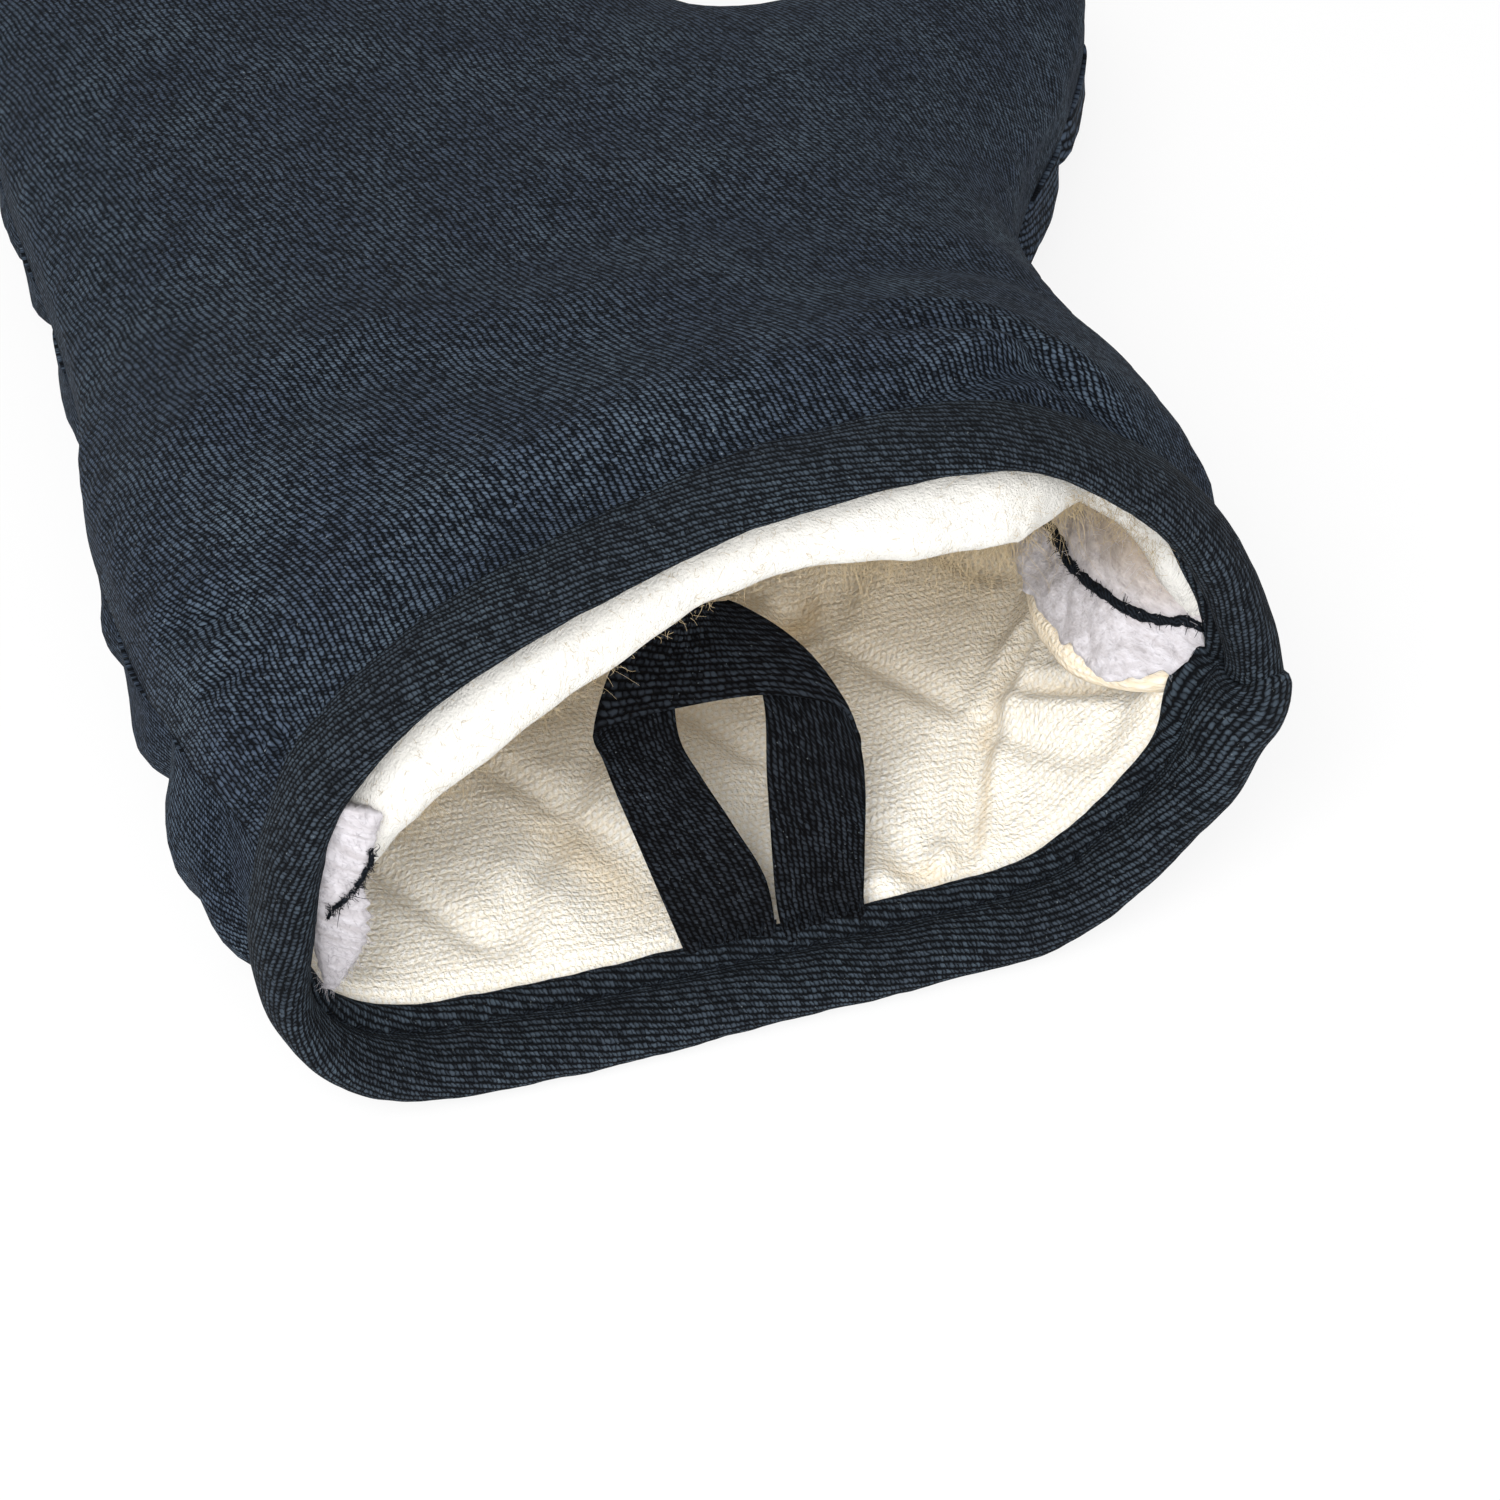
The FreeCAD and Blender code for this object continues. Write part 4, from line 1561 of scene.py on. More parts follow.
@dataclass
class Wadding:
    """The needled wadding, which fills what room there is between the shell and the lining.

    Attributes:
        below: Its outer face's depth inside the shell's.
        thick: Its thickness where free.
        gripped: And where a seam or the binding grips it.
        lining: Room that the lining takes.
        held: How far in the binding grips it.
        farthest: How far away the lining is looked for.
    """

    below: float = 1.3
    thick: float = 4.6
    gripped: float = 0.4
    lining: float = 1.6
    held: float = 9.0
    farthest: float = 30.0

    def dress(self, shell: Panel, lining: Panel, palette: Palette) -> None:
        """Args:
            shell: The shell's panel.
            lining: The lining's panel.
            palette: The materials.
        """
        normal = shell.normals()
        points = shell.points - normal * self.below
        points[:, 2] = settle(points[:, 2], 1.2, 0.6)
        tree = search_tree(lining.points, lining.triangles)
        room = np.full(len(points), self.below + self.lining + self.gripped)
        for k, (p, n) in enumerate(zip(points, normal)):
            _, _, _, far = tree.ray_cast(Vector(p), Vector(-n), self.farthest)
            if far is not None:
                room[k] = far
        thick = np.clip(room - self.lining, self.gripped, self.thick)
        thick[shell.depth < self.held] = self.gripped / 2
        outward = lining.normals()
        for k, (p, n) in enumerate(zip(points, normal)):
            spot, _, face, _ = tree.find_nearest(Vector(p - n * thick[k]))
            spare = (p - n * thick[k] - np.array(spot)) @ outward[lining.triangles[face][0]] - self.lining
            thick[k] = max(thick[k] + min(spare, 0.0), self.gripped / 2)
        solid, faces = thick_sheet(points, shell.triangles, 0.0, thick)
        side = shell.side.value
        item = make_object(f"{side}_batting_felt", solid, faces, palette.wadding,
                           **{CLOTH: shell.flat})
        declare(item, "wadding", f"{side}_batting")


@dataclass
class Lining:
    """The brushed terry lining, whose spare length makes a soft lip under the back's rim.

    Attributes:
        mitt: The cut.
        thick: The cloth's thickness.
        inset: Its inner face's depth inside the shell's outer face.
        hem: How much longer than the shell the back panel is cut.
        lip: The lip from the binding on: distance in from the rim's plane and from the padded edge.
        lip_size: The lip's size for a share of the way from seam to seam.
        waves: Height and size of the wide, the narrow and the lip's waves.
        valley: How far the quilting pulls the palm panel down.
        highest: How far a fold or valley may push it out.
        creases: Folds in the palm panel.
    """

    mitt: Mitt
    thick: float = 1.3
    inset: float = 7.5
    hem: float = 15.0
    lip: Line2 = (
        (8.4, -0.1), (6.2, 0.4), (3, 1.7), (0.7, 5), (0.5, 9), (2.5, 12.5), (7, 14), (14, 13), (24, 11),
        (40, 9))
    lip_size: Line2 = (
        (0, 0.55), (0.05, 0.8), (0.13, 1.0), (0.22, 1.08), (0.32, 1.0), (0.42, 0.88), (0.52, 0.88),
        (0.6, 1.0), (0.67, 1.05), (0.72, 0.95), (0.755, 0.7), (0.785, 0.42), (0.84, 0.4), (0.93, 0.4),
        (1, 0.25))
    waves: Line2 = ((0.7, 17), (0.35, 6), (0.8, 9))
    valley: float = 1.6
    highest: float = 2.2
    creases: tuple[Tuck, ...] = (
        Tuck(((53, -109, 9), (45.8, -118, 9), (39.5, -128, 9), (34, -139, 9), (29, -151, 8)), 1.7, -2.4),
        Tuck(((60, -104, 20), (54, -109.5, 12), (48, -118, 9)), 1.5, -2.2),
        Tuck(((50, -118, 9), (55, -124, 13), (60, -130, 18), (63, -134, 22)), 1.6, -2.0),
        Tuck(((21.5, -138, 9), (28.2, -152, 8)), 2.5, -1.6),
        Tuck(((29, -84, 9), (24, -92, 9), (20, -100, 9)), 3.0, -2.0),
        Tuck(((-25, -112, 9), (-15, -134, 9), (-13, -147, 8)), 6.0, -1.6))

    def back_profile(self, depth: Array, share: Array, half: Array) -> tuple[Array, Array]:
        """The back panel bulges out under the rim and hangs before it turns in.

        Args:
            depth: Distance in from the mouth.
            share: Share of the way from seam to seam.
            half: Half the padded edge's thickness.

        Returns:
            How far in and how far out from the rim's middle it runs.
        """
        grow = np.interp(share, *np.array(self.lip_size).T)
        line = spline(self.lip, False, 16)
        along = lengths(line)
        s = np.minimum(depth, along[-1])
        beyond = np.maximum(depth - along[-1], 0)
        inward, drop = (np.interp(s, along, line[:, k]) for k in range(2))
        straight = line[0, 0] + (line[-1, 0] - line[0, 0]) * s / along[-1]
        bulge = np.minimum(grow, 1)
        return inward * bulge + straight * (1 - bulge) + beyond, 1.05 - half - drop * grow

    def palm_profile(self, depth: Array, share: Array, half: Array) -> tuple[Array, Array]:
        """The palm panel comes out under the binding's inner leg."""
        return depth + 6.5, 1.1 - half - 1.3 * smooth(3, 7, depth) - 1.2 * smooth(7, 30, depth)

    def build(self, side: Side) -> Panel:
        """Makes a panel with its folds and its hand-like unevenness.

        Args:
            side: Back or palm.

        Returns:
            The panel.
        """
        back = side is Side.BACK
        panel = self.mitt.panel(side, self.inset, self.back_profile if back else self.palm_profile,
                                hem=self.hem if back else 0.0, fine=1.1)
        far = smooth(1, 8, panel.depth)
        (high, wide), (low, narrow), (lip, lip_wide) = self.waves
        push = high * ripple(panel.points, wide, 5) * far + low * ripple(panel.points, narrow, 2) * far
        if back:
            push += lip * ripple(panel.points, lip_wide, 4) * hump(panel.depth - 18, 9)
        else:
            line = self.mitt.quilting.distance(panel.flat)
            push += self.valley * hump(line, 2.6) * smooth(6, 14, panel.depth)
            for crease in self.creases:
                push += crease.push(panel)
            push = np.minimum(push, self.highest)
        panel.points = panel.points + panel.normals() * push[:, None]
        panel.cloth = flatten(panel)
        return panel

    def dress(self, side: Side, palette: Palette) -> Panel:
        """Args:
            side: Back or palm.
            palette: The materials.

        Returns:
            The panel.
        """
        panel = self.build(side)
        nap = 1 - smooth(22, 34, panel.depth) if side is Side.BACK else panel.depth * 0
        # Painted shade: darker the deeper inside the mitt, and in the palm's creases.
        shade = 0.6 * smooth(20, 75, panel.depth)
        if side is Side.PALM:
            for crease in self.creases:
                shade += 0.7 * np.clip(crease.push(panel) / abs(crease.deep), 0, 1) ** 2
        points, faces = thick_sheet(panel.points, panel.triangles, self.thick, 0.0)
        item = make_object(f"{side.value}_lining_terry", points, faces, palette.terry, **{
            CLOTH: panel.cloth, NAP: nap, SHADE: shade})
        declare(item, "terry", f"{side.value}_lining")
        return panel


# ---- the mouth
@dataclass
class Binding:
    """The bias strip folded over the mouth, lapped over itself by the thumb side's seam.

    Attributes:
        mitt: The cut.
        thick: The strip's thickness.
        lap: How far its end laps its start.
        folded: How much of that end is folded under.
        end_rows: Distances from the end where its rows of points lie closer.
        longer: How far the inner leg sticks out at the end.
        skew: How far the crown runs ahead of the legs there.
        ditch: The stitches' depth in from the rim and under the inner leg, and each one's slant.
        stitch: From one stitch to the next.
        thread: The thread's diameter.
    """

    mitt: Mitt
    thick: float = 1.0
    lap: float = 14.0
    folded: float = 7.0
    end_rows: tuple[float, ...] = (3.2, 2.4, 1.8, 1.3, 0.9, 0.6, 0.35, 0.15, 0)
    longer: float = 2.6
    skew: float = 3.6
    ditch: tuple[float, float, float] = (5.8, 1.15, 0.1)
    stitch: float = 2.7
    thread: float = 0.45

    @staticmethod
    def section(half: float, longer: float) -> Array:
        """The strip's section from its outer edge round the fold to its inner edge.

        Args:
            half: Half the padded edge's thickness.
            longer: How far the inner leg sticks out.

        Returns:
            Points: how far in from the rim's plane, and how far out from the edge's middle.
        """
        return spline((
            (8.2, half - 1.6), (9.1, half - 1.2), (8.8, half - 0.4), (7.0, half - 0.05), (3, half),
            (0, half - 0.6), (-2.2, half * 0.45), (-2.9, 0), (-2.2, -half * 0.45), (0, 0.6 - half),
            (3.4, 0.2 - half), (5.8, 1.1 - half), (7.2 + longer * 0.4, -half - 0.3),
            (8.8 + longer, -half - 0.5), (9.8 + longer, 0.3 - half), (9.4 + longer, 1.0 - half)), False, 3)

    def build(self) -> tuple[Array, Array, Array]:
        """Sweeps the section round the rim.

        Returns:
            Vertices, triangles and places on the flat strip.
        """
        rim = self.mitt.rim
        start = rim.right - self.lap / rim.step
        turns = rim.samples + self.lap / rim.step
        index = start + np.append(np.linspace(0, turns - 4 / rim.step, int(turns / 1.6)),
                                  turns - np.array(self.end_rows) / rim.step)
        along = (index - start) * rim.step
        end = along[-1]
        over = smooth(rim.length - 9, rim.length + 4, along)
        over += 0.5 * smooth(end - self.folded, end - self.folded + 3, along)
        over -= 0.6 * smooth(end - 1.3, end + 0.1, along) ** 2
        longer = self.longer * smooth(end - 16, end - 3, along)
        sections = np.array([self.section(*pair) for pair in zip(rim.thickness(index) / 2, longer)])
        rows, columns = sections.shape[:2]
        across = lengths(sections[0])
        wave, fine = (
            np.array([[noise.noise(Vector((a / long, c / wide, seed))) for c in across] for a in along])
            for long, wide, seed in ((5.5, 4.0, 1.0), (1.9, 2.6, 8.0)))
        tooth = np.cos(along * 2 * math.pi / self.stitch)[:, None] * hump(across - 1.2, 1.0)
        swell = 0.22 * wave + 0.07 * fine - 0.12 * tooth + 0.75 * self.thick * over[:, None]
        crown = across[np.argmin(sections[0][:, 0])]
        ahead = self.skew * hump(across - crown, 5.0) * smooth(end - 9, end, along)[:, None]
        places = (index[:, None] + ahead / rim.step).ravel()
        away = turned(unit(np.gradient(sections, axis=1)))

        def face(depth: float) -> Array:
            """The strip's outer face, or one that lies deeper.

            Args:
                depth: How much deeper.

            Returns:
                Its points.
            """
            flat = (sections + away * (swell - depth)[:, :, None]).reshape(-1, 2)
            points = rim.at(places, flat[:, 0], flat[:, 1])
            points[:, 2] = settle(points[:, 2], TABLE_GAP, 0.5)
            return points

        cloth = np.stack([np.tile(across, rows), np.repeat(along, columns)], 1)
        faces = both_faces(grid_triangles(rows, columns), rows * columns)
        return np.vstack([face(0.0), face(self.thick)]), faces, cloth

    def row(self) -> tuple[Array, Array, Array]:
        """Places the row of stitches in the ditch.

        Returns:
            The stitches' starts, ends and normals.
        """
        rim = self.mitt.rim
        count = int(rim.length / self.stitch)
        inward, under, slant = self.ditch
        index = rim.right + (np.arange(count) + 0.5) * self.stitch / rim.step
        reach = self.stitch * 0.36 / rim.step
        radial = under - rim.thickness(index) / 2
        starts = rim.at(index - reach, np.full(count, inward - slant), radial)
        ends = rim.at(index + reach, np.full(count, inward + slant), radial)
        middle = rim.at(index, np.full(count, inward), radial)
        return starts, ends, rim.at(index, np.full(count, inward), radial - 1) - middle

    def dress(self, palette: Palette) -> None:
        """Builds the strip and the stitching in its ditch.

        Args:
            palette: The materials.
        """
        points, faces, cloth = self.build()
        item = make_object("cuff_binding_strip", points, faces, palette.binding, **{CLOTH: cloth})
        declare(item, "binding_twill", "cuff_binding")
        item = stitches("binding_stitch_rows", *self.row(), self.thread, palette.dark_thread)
        declare(item, "dark_thread", "binding_stitching")


@dataclass
class HangingLoop:
    """The twill tape folded into a pointed loop and caught under the binding.

    Attributes:
        foot: The middle of its foot.
        lean: How far it leans into the mitt from upright, in degrees.
        thick: The tape's thickness.
        wide: Its width.
        tacks: How many stitches the bar tack has.
        rows: From foot to foot: both edges as across and up the loop's own plane, how far the tape
            stands in front of it, and how far it bows out at a crease.
    """

    foot: tuple[float, float, float] = (2.3, -149.3, 8.4)
    lean: float = 44.0
    thick: float = 1.0
    wide: float = 12.7
    tacks: int = 14
    rows: tuple[tuple[float, ...], ...] = (
        (-12.7, -3, -0.3, -3, -0.8, 0), (-14.4, 6, 0.1, 6, -0.8, 0), (-16, 14.5, -2.6, 14.3, -0.8, 0),
        (-17.4, 22, -5.5, 21.8, -0.9, 0), (-18.2, 27, -7.3, 28, -0.9, 0.3),
        (-18.8, 29.5, -6.2, 36, -0.8, 1.2), (-18.3, 31.0, -4.8, 44.0, 0, 2.5),
        (-16.4, 31.4, -4.2, 44.6, 0.8, 2.2), (-7.7, 31.7, -2, 44.8, 1.0, 0.4),
        (5.5, 30.8, 1, 44.8, 1.0, 0.2), (15.2, 27.0, 2.7, 44.4, 0.8, 1.8), (17.2, 22.8, 3.6, 43.6, 0, 2.2),
        (17.3, 19.8, 5.2, 36, -0.8, 1.0), (16.9, 16.5, 5.4, 29, -0.9, 0.2),
        (15.7, 11.2, 3.5, 19.7, -0.8, 0), (13.8, 4, 1.6, 8, -0.7, 0), (12.9, 0.5, 0.8, 2, -0.7, 0),
        (12.5, -3, 0.7, -3, -0.7, 0))

    def build(self) -> tuple[Array, Array, Array, Array]:
        """Sweeps the tape.

        Returns:
            Points, triangles, places on the flat tape and thickness.
        """
        line = spline(self.rows, False, 9)
        columns = 15
        u = np.linspace(0, 1, columns)
        a, b = line[:, 0:2], line[:, 2:4]
        middle = (a + b) / 2
        along = lengths(middle)
        lean = math.radians(self.lean)
        up = np.array([0, math.cos(lean), math.sin(lean)])
        front = np.array([0, -math.sin(lean), math.cos(lean)])
        points = []
        turn = len(line) // 2
        for k in range(len(line)):
            span = b[k] - a[k]
            away = np.array([-span[1], span[0]]) / np.linalg.norm(span) * (1 if k < turn else -1)
            place = a[k] + span * u[:, None] + away * (line[k, 5] * np.sin(math.pi * u))[:, None]
            crown = 0.35 * np.sin(math.pi * u) + 0.25 * np.array(
                [noise.noise(Vector((along[k] / 7.0, v * 2.0, 3.0))) for v in u])
            groove = -0.28 * (hump(u - 0.1, 0.03) + hump(u - 0.9, 0.03))  # inside each selvedge
            height = line[k, 4] + (crown + groove) * np.sign(line[k, 4] + 1e-6)
            points.append(np.array(self.foot) + place[:, :1] * [1, 0, 0] + place[:, 1:] * up
                          + height[:, None] * front)
        points = np.array(points).reshape(-1, 3)
        cloth = np.stack([np.tile(u * self.wide, len(line)), np.repeat(along, columns)], 1)
        triangles = grid_triangles(len(line), columns)
        edge = np.minimum(u, 1 - u) * self.wide
        thick = self.thick * (0.55 + 0.45 * smooth(0, 0.8, edge))
        return points, triangles, cloth, np.tile(thick, len(line))

    def dress(self, palette: Palette) -> None:
        """Builds the tape and its bar tack.

        Args:
            palette: The materials.
        """
        points, triangles, cloth, thick = self.build()
        solid, faces = thick_sheet(points, triangles, thick / 2, thick / 2)
        item = make_object("hanging_loop_tape", solid, faces, palette.tape, **{CLOTH: cloth})
        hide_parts("hanging_loop")
        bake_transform(item)
        LOG.info("hanging_loop_tape: %d points", len(solid))
        x = np.linspace(-9.5, 13.5, self.tacks) + self.foot[0] - 2
        starts = np.stack([x, np.full(self.tacks, -150.6), np.full(self.tacks, 8.4)], 1)
        ends = starts + [0.9, 1.6, 0.6]
        item = stitches("loop_bar_tack_stitches", starts, ends, np.tile([0, -0.5, 0.87], (self.tacks, 1)),
                        0.45, palette.dark_thread)
        declare(item, "dark_thread", "loop_bar_tack")


def facing(points: Array, triangles: Array, way: Sequence[float]) -> tuple[Array, Array]:
    """Triangles and normals of a surface, turned over if it faces away from a direction.

    Args:
        points: The surface's vertices.
        triangles: Its triangles.
        way: The direction.

    Returns:
        The triangles and the normals.
    """
    normal = vertex_normals(points, triangles)
    if (normal @ way).sum() < 0:
        return triangles[:, ::-1], -normal
    return triangles, normal


def curl(start: Array, way: Array, bend: Array) -> Array:
    """Five points of a fibre that sets off one way and bends another."""
    t = np.linspace(0, 1, 5)[:, None]
    return start + way * t + bend * t ** 2


@dataclass
class SeamEdge:
    """A side seam's turned-in edge: raw wadding with a heavy dark overlock thread on it.

    Attributes:
        name: Its side.
        rows: Lines along the edge, each from upper to lower border.
        thread: The thread's line.
        wander: How far the thread wanders from it.
        tails: Loose ends of thread.
        size: The flat strip's width and length in metres; not used.
        open_face: Roughly the way its open face looks.
        beige_tint: Heights between which a beige tint comes in, carried by the shade attribute.
        thread_radius: The thread's.
        fluff: Height of the wadding's unevenness.
        strays: How many short fibres stand off the thread.
        raised: How many stand off the wadding.
    """

    name: str
    rows: tuple[Line3, ...]
    thread: Line3
    wander: float
    tails: tuple[Line3, ...]
    size: tuple[float, float]
    open_face: tuple[float, float, float]
    beige_tint: tuple[float, float]
    thread_radius: float
    fluff: float
    strays: int = 420
    raised: int = 900

    def felt(self, seed: int) -> tuple[Array, Array, Array]:
        """Shapes the strip's middle surface.

        Args:
            seed: Of its unevenness.

        Returns:
            Points, triangles and how near each point is to the border.
        """
        columns, rows = 26, 90
        stack = np.array([evenly(spline(row, False), rows) for row in self.rows])
        grid = np.array([evenly(spline(stack[:, k], False), columns) for k in range(rows)])
        ragged = np.array([[noise.noise(Vector((k / 3.5, side * 7.0, seed))) for side in (0, 1)]
                           for k in range(rows)])
        across = unit(grid[:, -1] - grid[:, 0])
        near = np.linspace(0, 1, columns)
        push = 2.2 * self.fluff * (ragged[:, 1:] * near ** 3 - ragged[:, :1] * (1 - near) ** 3)
        grid = grid + push[:, :, None] * across[:, None, :]
        points = grid.reshape(-1, 3)
        triangles, normal = facing(points, grid_triangles(rows, columns), self.open_face)
        fluff = self.fluff * (ripple(points, 4.0, seed) + 0.6 * ripple(points, 1.6, seed + 4)
                              + 0.3 * ripple(points, 0.8, seed))
        border = np.minimum(np.arange(columns), columns - 1 - np.arange(columns))
        return points + normal * fluff[:, None], triangles, np.tile(border, rows)

    def dress(self, palette: Palette, seed: int) -> list[Array]:
        """Builds the strip, its thread and the thread's loose ends.

        Args:
            palette: The materials.
            seed: Of the felt's unevenness.

        Returns:
            The felt's raised fibres.
        """
        points, triangles, border = self.felt(seed)
        thick = 0.35 + 1.0 * smooth(0, 4, border)
        solid, faces = thick_sheet(points, triangles, thick * 0.5, thick)
        place = np.hstack([points[:, :1] * 0.7 + points[:, 2:], points[:, 1:2]])
        # A beige tint that comes in towards the top, carried by the shade attribute.
        beige_tint = smooth(*self.beige_tint, points[:, 2])
        item = make_object(f"{self.name}_seam_edge_felt", solid, faces, palette.wadding,
                           **{CLOTH: place, SHADE: beige_tint})
        declare(item, "wadding", f"{self.name}_seam_edge")
        line = evenly(spline(self.thread, False), 240)
        line = line + np.stack([ripple(line, 2.6, seed + k) for k in range(3)], 1) * self.wander
        top = solid[:len(points)]
        tree = search_tree(top, triangles)
        for k, p in enumerate(line):
            spot, away, _, _ = tree.find_nearest(Vector(p))
            line[k] = np.array(spot) + np.array(away) * 0.3
        wide = self.thread_radius * (1 + 0.45 * ripple(line, 1.4, seed + 9)
                                     + 0.2 * ripple(line, 0.6, seed + 5))
        tubes, faces, flat = tube(line, wide)
        item = make_object(f"{self.name}_overlock_thread_twist", tubes, faces, palette.dark_thread,
                           **{CLOTH: flat})
        declare(item, "dark_thread", f"{self.name}_overlock_thread")
        random = np.random.default_rng(seed)
        dark = [spline(tail, False) for tail in self.tails]
        for k in random.integers(0, len(line), self.strays):
            way = random.normal(0, 1, 3)
            way *= self.thread_radius * random.uniform(0.9, 2.1) / np.linalg.norm(way)
            dark.append(curl(line[k], way, random.normal(0, 0.4, 3)))
        item = hairs(f"{self.name}_thread_ends", dark, 0.07, palette.dark_thread)
        declare(item, "dark_thread")
        normal = vertex_normals(points, triangles)
        fibres = []
        for k in random.integers(0, len(points), self.raised):
            way = normal[k] + random.normal(0, 0.9, 3)
            way *= random.uniform(0.5, 1.7) / np.linalg.norm(way)
            fibres.append(curl(top[k], way, random.normal(0, 0.5, 3)))
        return fibres


THUMB_SIDE = SeamEdge(
    "thumb_side",
    rows=(((70, -139, 43), (66, -134, 47), (62, -127, 49), (60, -118, 50), (60, -108, 50), (61, -97, 48)),
          ((67.6, -138.4, 36), (63.9, -135.6, 36.5), (60.4, -133, 37), (57.6, -128, 37), (56, -121, 37),
           (56.5, -112, 37), (58, -98, 38)),
          ((68, -140, 30), (62.5, -140.2, 30.5), (57.5, -139.8, 30), (53.3, -138.4, 29.5), (51.6, -132, 29.5),
           (50.2, -124, 29.5), (50, -113, 30), (53, -99, 32))),
    thread=((68.4, -139.4, 36), (64.2, -136, 36), (60.5, -134.2, 36), (57.6, -131.3, 36), (56.2, -125.4, 36),
            (54.8, -120.9, 36), (55.6, -116, 36), (54.6, -112.4, 36), (55.7, -107, 36)),
    wander=0.5,
    tails=(((54.2, -119.5, 37), (52.6, -120.5, 38), (51.6, -121.2, 38)),
           ((55.6, -126.4, 37), (54.6, -127.8, 37.5), (54.0, -128.0, 38))),
    size=(0.021, 0.047), open_face=(-0.5, -0.7, 0.5), beige_tint=(34, 44), thread_radius=0.7, fluff=0.6)
LITTLE_FINGER_SIDE = SeamEdge(
    "little_finger_side",
    rows=(((-56.5, -144, 46), (-58.5, -144.5, 38), (-59.7, -145.5, 30), (-60.2, -146, 22), (-59.6, -147, 15)),
          ((-53, -145.4, 45), (-55.2, -146.2, 38), (-56.6, -146.8, 31), (-57, -147, 24), (-59, -147.4, 15)),
          ((-49.5, -146, 43.5), (-51.5, -146.8, 37.5), (-53, -147, 32.5), (-52.8, -147, 27.6),
           (-53.6, -147, 22), (-56, -147.2, 17.6), (-58.6, -147.4, 14.8))),
    thread=((-58.6, -148, 28), (-56.5, -148, 30.6), (-55, -147.8, 31.9), (-52.8, -147.8, 34.3),
            (-51.2, -147.6, 38.6)),
    wander=0.5,
    tails=(((-55, -148, 32), (-53.6, -148.4, 31.4), (-52.2, -148.8, 31.2)),
           ((-56.5, -148.2, 30.6), (-57, -148.6, 29), (-57.4, -149, 27.6)),
           ((-51.2, -147.8, 38.6), (-50.6, -148.2, 39.8), (-50.9, -148.6, 41))),
    size=(0.011, 0.031), open_face=(0.3, -0.7, 0.6), beige_tint=(90, 99), thread_radius=0.3, fluff=0.3)


@dataclass(frozen=True)
class TurnedEdge:
    """The lining's turned-under edge, which shows as a cream band below the raw wadding.

    Attributes:
        upper: The band's upper line, under the wadding.
        lower: Its lower line.
    """

    upper: Line3 = (
        (56, -108, 30), (54.2, -116, 31), (54.2, -124, 31), (56, -130, 31), (59, -135, 31),
        (63, -137.6, 30.5), (67, -139, 29.5))
    lower: Line3 = (
        (54.4, -111, 22), (51.6, -119.1, 23.5), (51.4, -125.9, 24), (52.6, -130.2, 24), (55.3, -133.6, 24),
        (59.2, -135.8, 24), (65, -137.4, 23.5))

    def dress(self, palette: Palette) -> None:
        """Builds the band, a little plump.

        Args:
            palette: The materials.
        """
        rows, columns = 70, 14
        upper, lower = (evenly(spline(line, False), rows) for line in (self.upper, self.lower))
        t = np.linspace(0, 1, columns)[None, :, None]
        grid = upper[:, None] * (1 - t) + lower[:, None] * t
        points = grid.reshape(-1, 3)
        triangles, normal = facing(points, grid_triangles(rows, columns), THUMB_SIDE.open_face)
        plump = 1.6 * np.sin(math.pi * np.tile(t.ravel(), rows) ** 1.5) + 0.5 * ripple(points, 5, 8)
        points = points + normal * plump[:, None]
        solid, faces = thick_sheet(points, triangles, 0.6, 0.6)
        place = np.stack([points[:, 1], points[:, 2]], 1)
        # Painted shade over the whole band, which lies in shadow under the wadding.
        item = make_object("thumb_side_turned_edge_terry", solid, faces, palette.terry, **{
            CLOTH: place, SHADE: np.full(len(place), 0.7)})
        declare(item, "terry")


